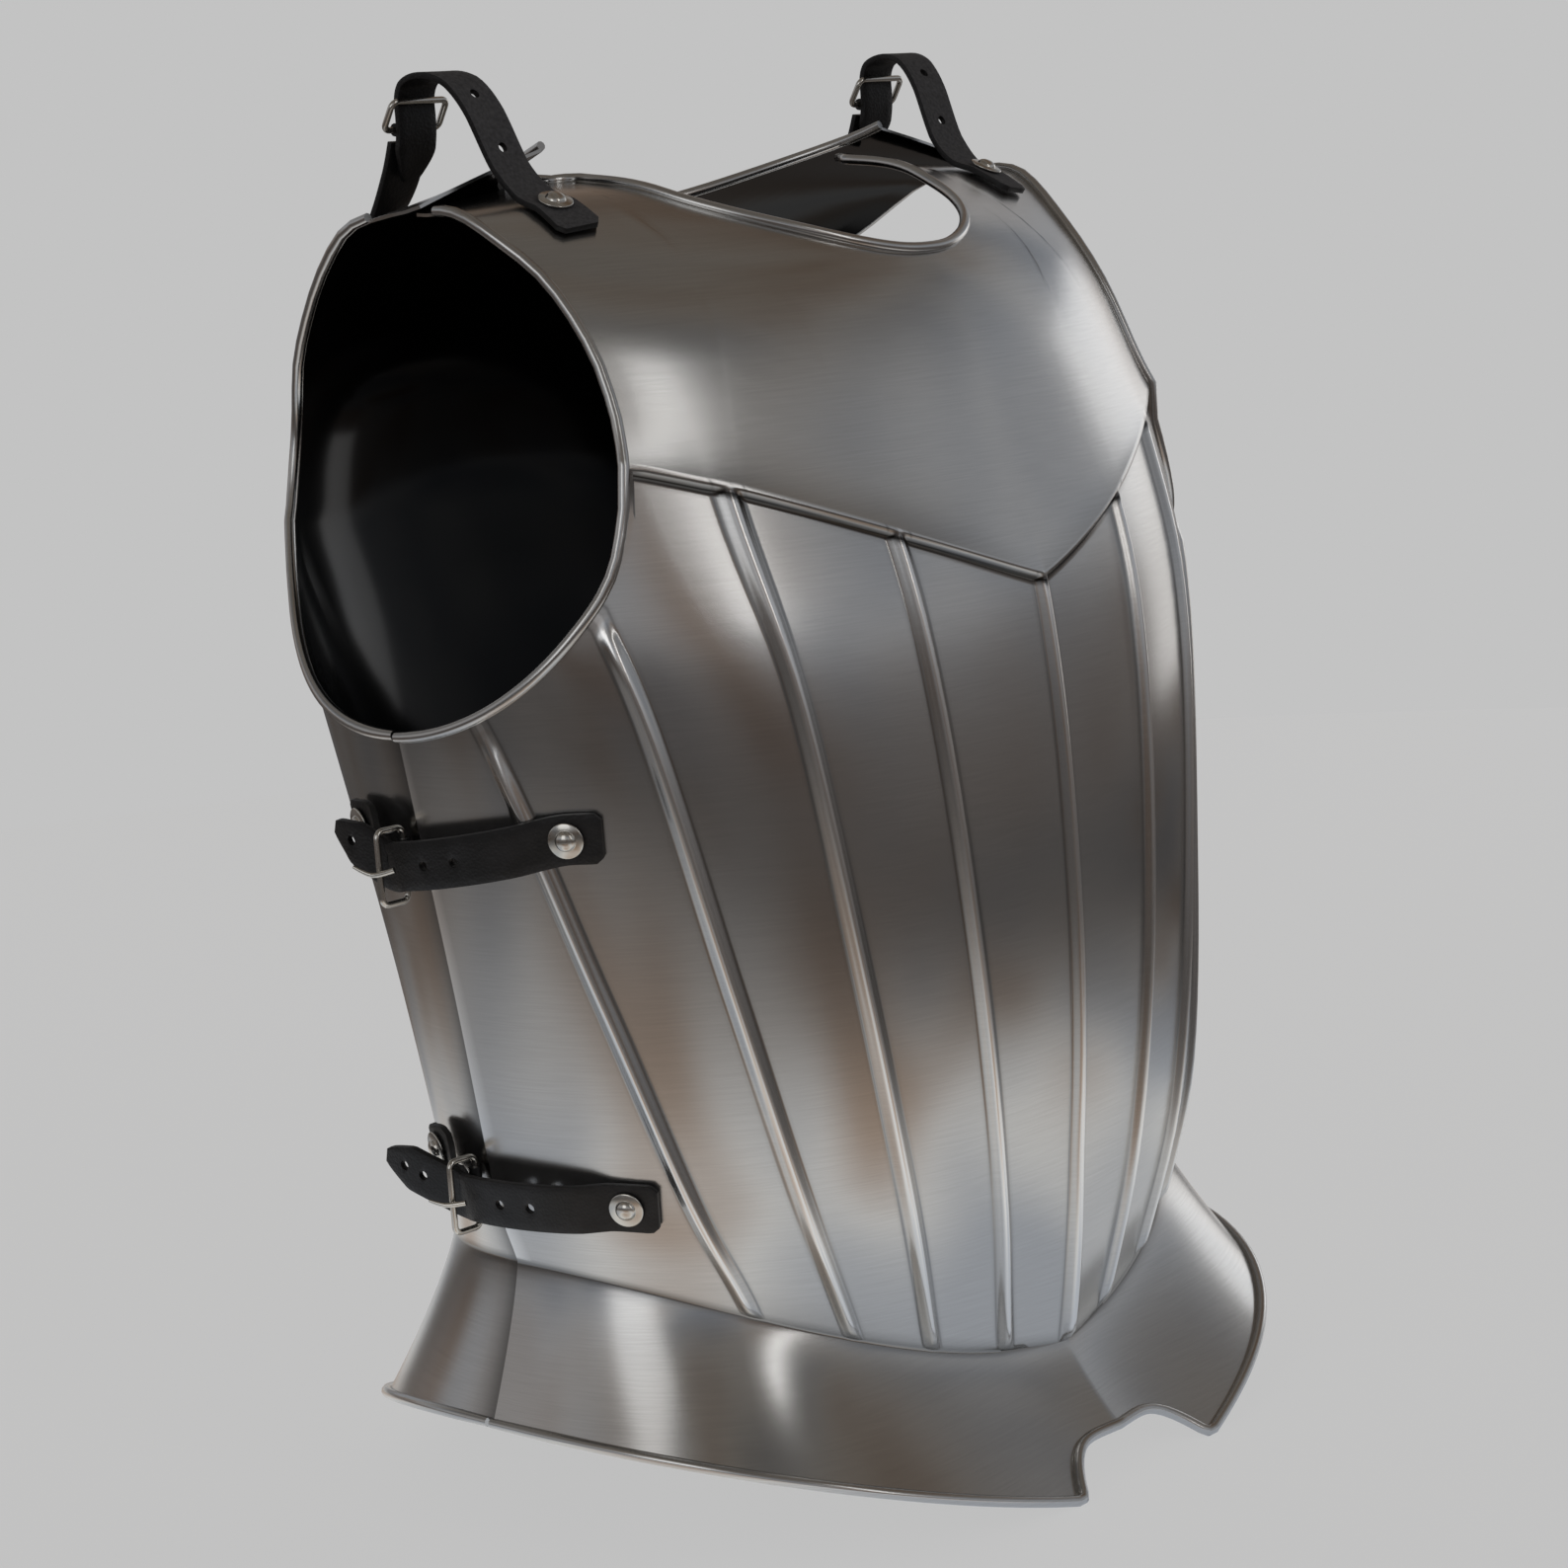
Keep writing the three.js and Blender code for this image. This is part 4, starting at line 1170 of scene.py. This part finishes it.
SIDE_RIVETS = {"front": -22.7, "back": 13.3}
SIDE_PRONG = ((0.4, 13.6), (3, 17.8), (5.2, 20.6))
TIP_RISE = 0.016  # levels that the free end rises with each degree
SHOULDER_STRAP = (
    (124, -42), (122.5, -28), (122.5, -19), (124, -9, 505), (126, -1, 524), (128, 8, 536),
    (130, 19, 539.5), (130, 28.3, 537), (130, 30.8, 532), (130, 31, 526), (130, 31.4, 519.5),
    (130, 33.5, 511), (130, 38, 502.5),
)
SHOULDER_CHAPE = ((130, 36.4, 517), (130, 41, 506), (130, 52), (130, 68))
UP = Vector((0, 0, 1))
ACROSS = Vector((1, 0, 0))


def body_place(angle, level, off):
    """A place off the body's surface, with the surface's direction there."""
    normal = surface_normal(angle, level)
    return surface_at(angle, level) + normal * off, normal


def shoulder_place(stop, above=0):
    """The place of a shoulder stop, with the plate's direction where it lies on one."""
    if len(stop) == 3:
        return Vector(stop), Vector()
    x, y = stop
    plate = PLATES["front" if y < 0 else "back"]
    return body_place(*place_over(plate, x, y), (ON_FRONT if y < 0 else ON_BACK) + above)


def smooth_path(points, steps):
    """Places on a centripetal curve through the points, steps to each span."""
    padded = [points[0] * 2 - points[1]] + list(points) + [points[-1] * 2 - points[-2]]
    path = []
    for i in range(1, len(padded) - 2):
        span = padded[i - 1:i + 3]
        knots = [0]
        for before, after in zip(span, span[1:]):
            knots.append(knots[-1] + max((after - before).length ** 0.5, 1e-4))
        for step in range(steps + (i == len(padded) - 3)):
            t = knots[1] + (knots[2] - knots[1]) * step / steps
            level = span
            for order in range(1, 4):
                level = [
                    level[k] + (level[k + 1] - level[k]) * ((t - knots[k]) / (knots[k + order] - knots[k]))
                    for k in range(len(level) - 1)
                ]
            path.append(level[0])
    return path


print("a strap is", STRAP["width"], "mm wide and", STRAP["thickness"], "mm thick")

# %% [markdown]
# ## Cutting a strap
# A strap is one row of leather: a grid laid along its path, turned to face outwards, narrowed at its
# ends, thickened, punched and given soft edges. It could be a swept profile, but a grid keeps the
# grain side and the flesh side apart, so each can have its own finish.

# %% Ribbons
# how a strip ends: the length over which it narrows, and its share of the width at the very end
PLAIN_END = (0.1, 1)
FRONT_END = (2.5, 0.76)
POINTED_END = (12, 0.3)
PATH_STEPS = 6
RIBBON_SHARES = (-1, -0.6, -0.2, 0.2, 0.6, 1)
HOLE_RADIUS = 1.9


def end_width(distance, end):
    """The share of the full width at a distance from an end."""
    length, narrow = end
    return narrow + (1 - narrow) * min(distance / length, 1) ** 0.8


def punch(ribbon, point, normal):
    """Cuts a round hole through the leather."""
    deselect_all()
    bpy.ops.mesh.primitive_cylinder_add(vertices=20, radius=HOLE_RADIUS * MM, depth=8 * MM)
    cutter = bpy.context.object
    turn = UP.rotation_difference(normal).to_matrix().to_4x4()
    cutter.data.transform(Matrix.Translation(point * MM) @ turn)
    apply_modifier(ribbon, "BOOLEAN", operation="DIFFERENCE", object=cutter, solver="EXACT")
    bpy.data.objects.remove(cutter, do_unlink=True)


def soften(piece, width, angle):
    """Bevels the edges sharper than the angle, by a width in millimetres."""
    limit = math.radians(angle)
    apply_modifier(piece, "BEVEL", width=width * MM, segments=2, limit_method="ANGLE", angle_limit=limit)


def ribbon_rows(places, across, first_end, last_end):
    """Rows of places across the strip, its frames (place and outward direction) and its run."""
    path = smooth_path([point for point, normal in places], PATH_STEPS)
    sides = smooth_path([across - normal * across.dot(normal) for point, normal in places], PATH_STEPS)
    run = [0]
    for before, after in zip(path, path[1:]):
        run.append(run[-1] + (after - before).length)
    rows, frames = [], []
    for i, point in enumerate(path):
        tangent = (path[min(i + 1, len(path) - 1)] - path[max(i - 1, 0)]).normalized()
        side = (sides[i] - tangent * sides[i].dot(tangent)).normalized()
        share = min(end_width(run[i], first_end), end_width(run[-1] - run[i], last_end))
        half = STRAP["width"] / 2 * share
        rows.append([point + side * half * across_share + STAND for across_share in RIBBON_SHARES])
        frames.append((point + STAND, tangent.cross(side)))
    return rows, frames, run


def make_ribbon(name, places, across, first_end, last_end, holes=()):
    """A strip of leather along places, with shaped ends and holes at shares of its length."""
    rows, frames, run = ribbon_rows(places, across, first_end, last_end)
    ribbon = formed_grid(name, rows)
    facing = frames[len(frames) // 2][1]
    if ribbon.data.polygons[0].normal.dot(facing) < 0:
        ribbon.data.flip_normals()
    ribbon.data.materials.append(leather)
    ribbon.data.materials.append(flesh)
    apply_modifier(ribbon, "SOLIDIFY", thickness=STRAP["thickness"] * MM, offset=0, material_offset=1)
    for share in holes:
        nearest = min(range(len(run)), key=lambda i: abs(run[i] - share * run[-1]))
        punch(ribbon, *frames[nearest])
    soften(ribbon, 0.35, 50)
    finish_mesh(ribbon)
    print(name, "is", round(run[-1]), "mm long with", len(holes), "holes")
    return ribbon


print("a hole is", 2 * HOLE_RADIUS, "mm wide")

# %% [markdown]
# ## Buckles
# A buckle frame is a bar bent into a rounded rectangle, and its prong a thinner bar with a drawn tip.
# Both are bars along a line: the frame's line is closed, and the prong's narrows to its end.

# %% Buckles
FRAME = {"width": 29, "depth": 14, "bar": 2.4, "corner": 2.6}
PRONG = {"radius": 1.05, "tip": 0.55}


def frame_matrix(centre, along, near):
    """Puts what is made flat at the origin in its place: X runs along, and Z stands up from near."""
    first = along.normalized()
    third = first.cross(near).normalized()
    turn = Matrix((first, third.cross(first), third)).transposed().to_4x4()
    return Matrix.Translation((centre + STAND) * MM) @ turn


def make_frame(centre, along, near):
    """The frame of a buckle: one closed bar with round corners, made flat and then put in its place."""
    half_width, half_depth = (FRAME["width"] - FRAME["bar"]) / 2, (FRAME["depth"] - FRAME["bar"]) / 2
    corner = FRAME["corner"]
    path = []
    for quarter, (x, y) in enumerate(((1, 1), (-1, 1), (-1, -1), (1, -1))):
        for step in range(7):
            turn = math.radians(90 * quarter + 15 * step)
            middle = Vector((x * (half_width - corner), y * (half_depth - corner), 0))
            path.append(middle + Vector((math.cos(turn), math.sin(turn), 0)) * corner)
    frame_bar = bar_along("frame", path, FRAME["bar"] / 2, [1] * len(path), nickel, closed=True)
    finish_mesh(frame_bar)
    frame_bar.data.transform(frame_matrix(centre, along, near))
    return frame_bar


def make_prong(stops):
    """The prong of a buckle: a bar along its stops that narrows to its tip."""
    path = smooth_path([stop + STAND for stop in stops], 5)
    widths = [1 + (PRONG["tip"] - 1) * (i / (len(path) - 1)) ** 2 for i in range(len(path))]
    prong = bar_along("prong", path, PRONG["radius"], widths, nickel)
    finish_mesh(prong)
    return prong


print("a buckle frame is", FRAME["width"], "by", FRAME["depth"], "mm, from", FRAME["bar"], "mm bar")

# %% [markdown]
# ## Rivets
# A rivet is turned: its washer and domed head are one outline, grown ring by ring from a disc by
# extruding it and resizing the new ring. One pattern is made, and each rivet is a copy with its own
# mesh.

# %% Rivets
WASHER_RADIUS = 6.5
# each ring rises by so many millimetres and is this share of the ring below it
RIVET_RINGS = (
    (0.5, 1.0), (0.25, 0.94), (0.1, 0.62), (0.3, 0.97),
    (0.55, 0.93), (0.55, 0.82), (0.45, 0.62), (0.2, 0.35),
)


def make_rivet():
    """The pattern of a rivet on its washer, standing on the origin."""
    deselect_all()
    bpy.ops.mesh.primitive_circle_add(vertices=36, radius=WASHER_RADIUS * MM, fill_type="NGON")
    rivet = bpy.context.object
    bpy.ops.object.mode_set(mode="EDIT")
    bpy.ops.mesh.select_all(action="SELECT")
    for rise, share in RIVET_RINGS:
        bpy.ops.mesh.extrude_region_move(TRANSFORM_OT_translate={"value": (0, 0, rise * MM)})
        bpy.ops.transform.resize(value=(share, share, 1))
    bpy.ops.mesh.select_all(action="SELECT")
    bpy.ops.mesh.normals_make_consistent(inside=False)
    bpy.ops.object.mode_set(mode="OBJECT")
    soften(rivet, 0.15, 40)
    rivet.data.materials.append(nickel)
    finish_mesh(rivet, 60)
    return rivet


def place_rivet(name, place):
    """A copy of the pattern, standing on a place."""
    point, normal = place
    rivet = bpy.data.objects.new(name, rivet_pattern.data.copy())
    bpy.context.collection.objects.link(rivet)
    side = Vector((0, 1, 0)).cross(normal)
    rivet.data.transform(frame_matrix(point, side, normal.cross(side)))
    return rivet


rivet_pattern = make_rivet()
print("a rivet stands", round(sum(rise for rise, share in RIVET_RINGS), 2), "mm high")

# %% [markdown]
# ## A side set
# The strap is riveted to the breastplate. On the backplate a short strip, the chape, is folded round
# the bar of the buckle and riveted down. The strap runs over the seam, through the frame and past the
# prong, and its pointed end lies free. The pieces stand off the body by the measures of the paths.

# %% Side sets
LOOP_RADIUS = 2.4
LOOP_REACH = 8


def chape_loop(centre, along):
    """The fold of the chape round its bar."""
    half = along.normalized() * LOOP_REACH
    path = [centre - half + STAND, centre + STAND, centre + half + STAND]
    loop = bar_along("loop", path, LOOP_RADIUS, (1, 1, 1), leather)
    finish_mesh(loop)
    return loop


def side_set(level, hang, chape_rise, chape_lift, tip, holes):
    """The six pieces of a side set, for the left side."""
    start, end = SIDE_RIVETS["front"], SIDE_FRAME[0]

    def at(turn, off):
        hanging = hang * min(max((turn - start) / (end - start), 0), 1)
        return body_place(90 + turn, level - hanging + TIP_RISE * max(turn - end, 0), off)

    def on_chape(turn, off, part):
        return body_place(90 + turn, level - hang + chape_rise * part, off + chape_lift * part)

    chape = [on_chape(turn, off, min(i / 2, 1)) for i, (turn, off) in enumerate(SIDE_CHAPE)]
    centre, out = at(*SIDE_FRAME)
    bar = at(SIDE_FRAME[0], SIDE_FRAME[1] - (FRAME["depth"] - FRAME["bar"]) / 2)[0]
    strap = make_ribbon("strap", [at(*stop) for stop in SIDE_STRAP + tip], UP, FRONT_END, POINTED_END, holes)
    patch = make_ribbon("chape", chape, UP, PLAIN_END, FRONT_END)
    return {
        "strap": strap,
        "chape": join([patch, chape_loop(bar, UP)], "chape"),
        "buckle_frame": make_frame(centre, UP, out),
        "buckle_prong": make_prong([at(*stop)[0] for stop in SIDE_PRONG]),
        "front_rivet": place_rivet("front_rivet", at(SIDE_RIVETS["front"], ON_FRONT + ABOVE)),
        "back_rivet": place_rivet("back_rivet", on_chape(SIDE_RIVETS["back"], ON_BACK + ABOVE, 1)),
    }


print("a chape's fold is", 2 * LOOP_REACH, "mm wide")

# %% [markdown]
# ## A shoulder set
# The shoulder strap arches from tab to tab, and its buckle hangs on the steep leg behind the shoulder.
# So the frame and the prong follow that leg instead of the body.

# %% Shoulder sets
LEG = Vector((0, 0.54, -0.84))  # the way the strap runs down through its buckle
SHOULDER_FRAME = Vector((130, 31, 526))
SHOULDER_RIVETS = {"front": (122.5, -28), "back": (130, 60)}
SHOULDER_PRONG = ((5, 2.8), (-3, 4.8), (-12, 7.4))  # down the leg and up from it
SHOULDER_HOLES = (0.37, 0.52)


def shoulder_set():
    """The six pieces of the shoulder set, for the left side."""
    above = ACROSS.cross(LEG)
    prong = [SHOULDER_FRAME + LEG * down + above * up for down, up in SHOULDER_PRONG]
    bar = SHOULDER_FRAME + LEG * (FRAME["depth"] - FRAME["bar"]) / 2
    strap_places = [shoulder_place(stop) for stop in SHOULDER_STRAP]
    strap = make_ribbon("strap", strap_places, ACROSS, FRONT_END, POINTED_END, SHOULDER_HOLES)
    chape_places = [shoulder_place(stop) for stop in SHOULDER_CHAPE]
    patch = make_ribbon("chape", chape_places, ACROSS, PLAIN_END, FRONT_END)
    return {
        "strap": strap,
        "chape": join([patch, chape_loop(bar, ACROSS)], "chape"),
        "buckle_frame": make_frame(SHOULDER_FRAME, ACROSS, LEG),
        "buckle_prong": make_prong(prong),
        "front_rivet": place_rivet("front_rivet", shoulder_place(SHOULDER_RIVETS["front"], ABOVE)),
        "back_rivet": place_rivet("back_rivet", shoulder_place(SHOULDER_RIVETS["back"], ABOVE)),
    }


print("the shoulder buckle hangs", round(math.degrees(math.acos(-LEG.normalized().z))), "degrees off upright")

# %% [markdown]
# ## Mounting the sets
# Every set is modelled once, for the left side. The right one is its mirror image, each piece with a
# mesh of its own, and mirroring turns a shape inside out, so its faces are flipped back.


def mount_set(prefix, pieces):
    """Names a set's pieces for the left side and makes their mirror images for the right."""
    for kind, left in pieces.items():
        right = bpy.data.objects.new("right", left.data.copy())
        bpy.context.collection.objects.link(right)
        right.data.transform(Matrix.Scale(-1, 4, ACROSS))
        right.data.flip_normals()
        for side, piece in (("left", left), ("right", right)):
            node = f"{side}_{prefix}_{kind}"
            piece.name = f"{node}_fine"
            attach(piece, "root")
            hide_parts(node)
    print(prefix, "sets mounted:", 2 * len(pieces), "pieces")


for set_name, measures in SIDE_SETS.items():
    mount_set(f"side_{set_name}", side_set(**measures))
mount_set("shoulder", shoulder_set())
bpy.data.objects.remove(rivet_pattern, do_unlink=True)

# %% [markdown]
# ## The camera
# A portrait lens a good metre away keeps the plates' proportions. It stands a little above the middle
# of the cuirass, to the wearer's right, and leans slightly, and its shift frames the body.

# %% Camera
CAMERA = {"azimuth": -47.6, "elevation": 8.0, "roll": -4.55, "distance": 1.385}
LENS = {"lens": 81.1, "sensor_width": 36, "shift_x": 0.0107, "shift_y": -0.0623}
AIM = Vector((0, 0, 297)) + STAND


def look(azimuth, elevation, roll):
    """A camera's turn and the direction back from its aim, for angles in degrees."""
    a, e, r = (math.radians(value) for value in (azimuth, elevation, roll))
    back = Vector((math.sin(a) * math.cos(e), -math.cos(a) * math.cos(e), math.sin(e)))
    right = Vector((math.cos(a), math.sin(a), 0))
    up = back.cross(right)
    turned = (right * math.cos(r) + up * math.sin(r), up * math.cos(r) - right * math.sin(r), back)
    return Matrix(turned).transposed().to_4x4(), back


turn, back = look(CAMERA["azimuth"], CAMERA["elevation"], CAMERA["roll"])
lens = bpy.data.cameras.new("portrait_lens")
for setting, value in LENS.items():
    setattr(lens, setting, value)
camera = bpy.data.objects.new("portrait_camera", lens)
camera.matrix_world = Matrix.Translation(AIM * MM + back * CAMERA["distance"]) @ turn
bpy.context.collection.objects.link(camera)
bpy.context.scene.camera = camera
print("camera at", [round(v, 2) for v in camera.matrix_world.translation])

# %% [markdown]
# ## The room's tones
# Polished steel shows its surroundings more than itself. So the lens sees a plain pale floor and wall,
# while the steel reflects a room: dim low down, light just above eye height, brownish overhead, with
# soft patches of brown and blue. The room is the same from every side.

# %% Tones
# from straight down (0) over the horizon (0.5) to overhead (1)
ROOM_TONES = (
    (0.0, "#55514e"), (0.45, "#65615f"), (0.5, "#737171"), (0.55, "#a3a4a7"), (0.66, "#adaeb0"),
    (0.78, "#7f7b77"), (0.9, "#746f69"), (1.0, "#6e6861"),
)
# painted light: the glow the steel sees in the floor, bright close by and dim further off
FLOOR_TONES = ((0.0, "#e4e4e3"), (0.26, "#dededd"), (0.4, "#8a8785"), (0.56, "#585553"), (1.0, "#5e5c5b"))
TINTS = ((0.36, "#c2a995"), (0.5, "#ffffff"), (0.64, "#c6ccd6"))
PAPER = linear("#c3c3c3")


def seen_by_camera(tree, direct, bounced):
    """One shader for what the lens sees and another for what the steel reflects."""
    seen = add_node(tree, "ShaderNodeLightPath").outputs["Is Camera Ray"]
    return add_node(tree, "ShaderNodeMixShader", [(seen, 0), (bounced, 1), (direct, 2)]).outputs[0]


def tinted(tree, share, tones, clouds):
    """The tones along a share, coloured by the soft patches of TINTS."""
    return mixed(tree, 1, tone_ramp(tree, share, tones), tone_ramp(tree, clouds, TINTS), "MULTIPLY")


print("the room has", len(ROOM_TONES), "tones and the floor", len(FLOOR_TONES))

# %% [markdown]
# ## Floor
# A round sheet of pale paper, just under the rim so that the two don't touch. A little light of its
# own keeps it even, so that it runs into the pale wall with no hard line.

# %% Floor
FLOOR_RADIUS = 1.7
BELOW_RIM = (0, 0, -0.0005)


def make_floor():
    deselect_all()
    bpy.ops.mesh.primitive_circle_add(vertices=96, radius=FLOOR_RADIUS, fill_type="NGON", location=BELOW_RIM)
    floor = bpy.context.object
    floor.name = "floor"
    material, tree, paper, place = new_material("pale_paper_floor")
    set_shader(paper, Base_Color=linear("#5a5a5a"), Roughness=1.0)
    set_shader(paper, Emission_Color=PAPER, Emission_Strength=0.94)
    reach = add_node(tree, "ShaderNodeVectorMath", [(place, 0)], operation="LENGTH").outputs["Value"]
    share = add_node(tree, "ShaderNodeMapRange", [(reach, "Value")])
    share.inputs["From Max"].default_value = FLOOR_RADIUS
    clouds = add_node(tree, "ShaderNodeTexNoise", [(place, "Vector")], Scale=2.6, Detail=1.0)
    # painted light: the floor glows for reflections only, brighter close to the cuirass
    glow = add_node(tree, "ShaderNodeEmission", [(tinted(tree, share, FLOOR_TONES, clouds), "Color")])
    mix = seen_by_camera(tree, paper.outputs[0], glow.outputs[0])
    tree.links.new(mix, tree.nodes["Material Output"].inputs["Surface"])
    floor.data.materials.append(material)


make_floor()
print("the floor is", 2 * FLOOR_RADIUS, "m across")

# %% [markdown]
# ## Surround
# The world gives the lens the same pale grey as the floor, and gives the steel the room's tones by
# height. It could be walls round a set, but a world needs no mesh and has no corners to reflect.

# %% Surround


def make_surround():
    world = bpy.data.worlds.new("room")
    world.use_nodes = True
    bpy.context.scene.world = world
    tree = world.node_tree
    place = add_node(tree, "ShaderNodeTexCoord").outputs["Generated"]
    height = add_node(tree, "ShaderNodeSeparateXYZ", [(place, "Vector")]).outputs["Z"]
    clouds = add_node(tree, "ShaderNodeTexNoise", [(place, "Vector")], Scale=2.2, Detail=2.0)
    share = add_node(tree, "ShaderNodeMapRange", [(height, "Value")])
    share.inputs["From Min"].default_value = -1
    room = tree.nodes["Background"]
    tree.links.new(tinted(tree, share, ROOM_TONES, clouds), room.inputs["Color"])
    plain = add_node(tree, "ShaderNodeBackground", Color=PAPER)
    mix = seen_by_camera(tree, plain.outputs[0], room.outputs[0])
    tree.links.new(mix, tree.nodes["World Output"].inputs["Surface"])


make_surround()
print("world:", bpy.context.scene.world.name)

# %% [markdown]
# ## Lights
# Three large soft lights draw the highlights: a window low on the wearer's left for the far edge, a
# softbox on the near side for the ribs, and a tall strip in front for the long streak on the chest.

# %% Lights
# place in metres, width and height, and watts
SOFT_LIGHTS = {
    "window": ((2.6, 0.1, 0.5), (1.2, 1.1), 3.4),
    "near_softbox": ((-2.3, -0.45, 1.0), (1.0, 1.4), 3.2),
    "tall_strip": ((-0.3, -2.3, 1.5), (0.3, 1.6), 2.6),
}
LIT_POINT = Vector((0, 0, 0.28))


def soft_light(name, place, size, watts):
    """A large rectangular light that faces the cuirass."""
    lamp = bpy.data.lights.new(name, "AREA")
    lamp.shape = "RECTANGLE"
    lamp.size, lamp.size_y = size
    lamp.energy = watts
    light = bpy.data.objects.new(name, lamp)
    light.location = place
    light.rotation_euler = (LIT_POINT - Vector(place)).to_track_quat("-Z", "Y").to_euler()
    bpy.context.collection.objects.link(light)


for light_name, settings in SOFT_LIGHTS.items():
    soft_light(light_name, *settings)
    print(light_name, "gives", settings[2], "W")
bpy.context.scene.view_settings.view_transform = "Standard"
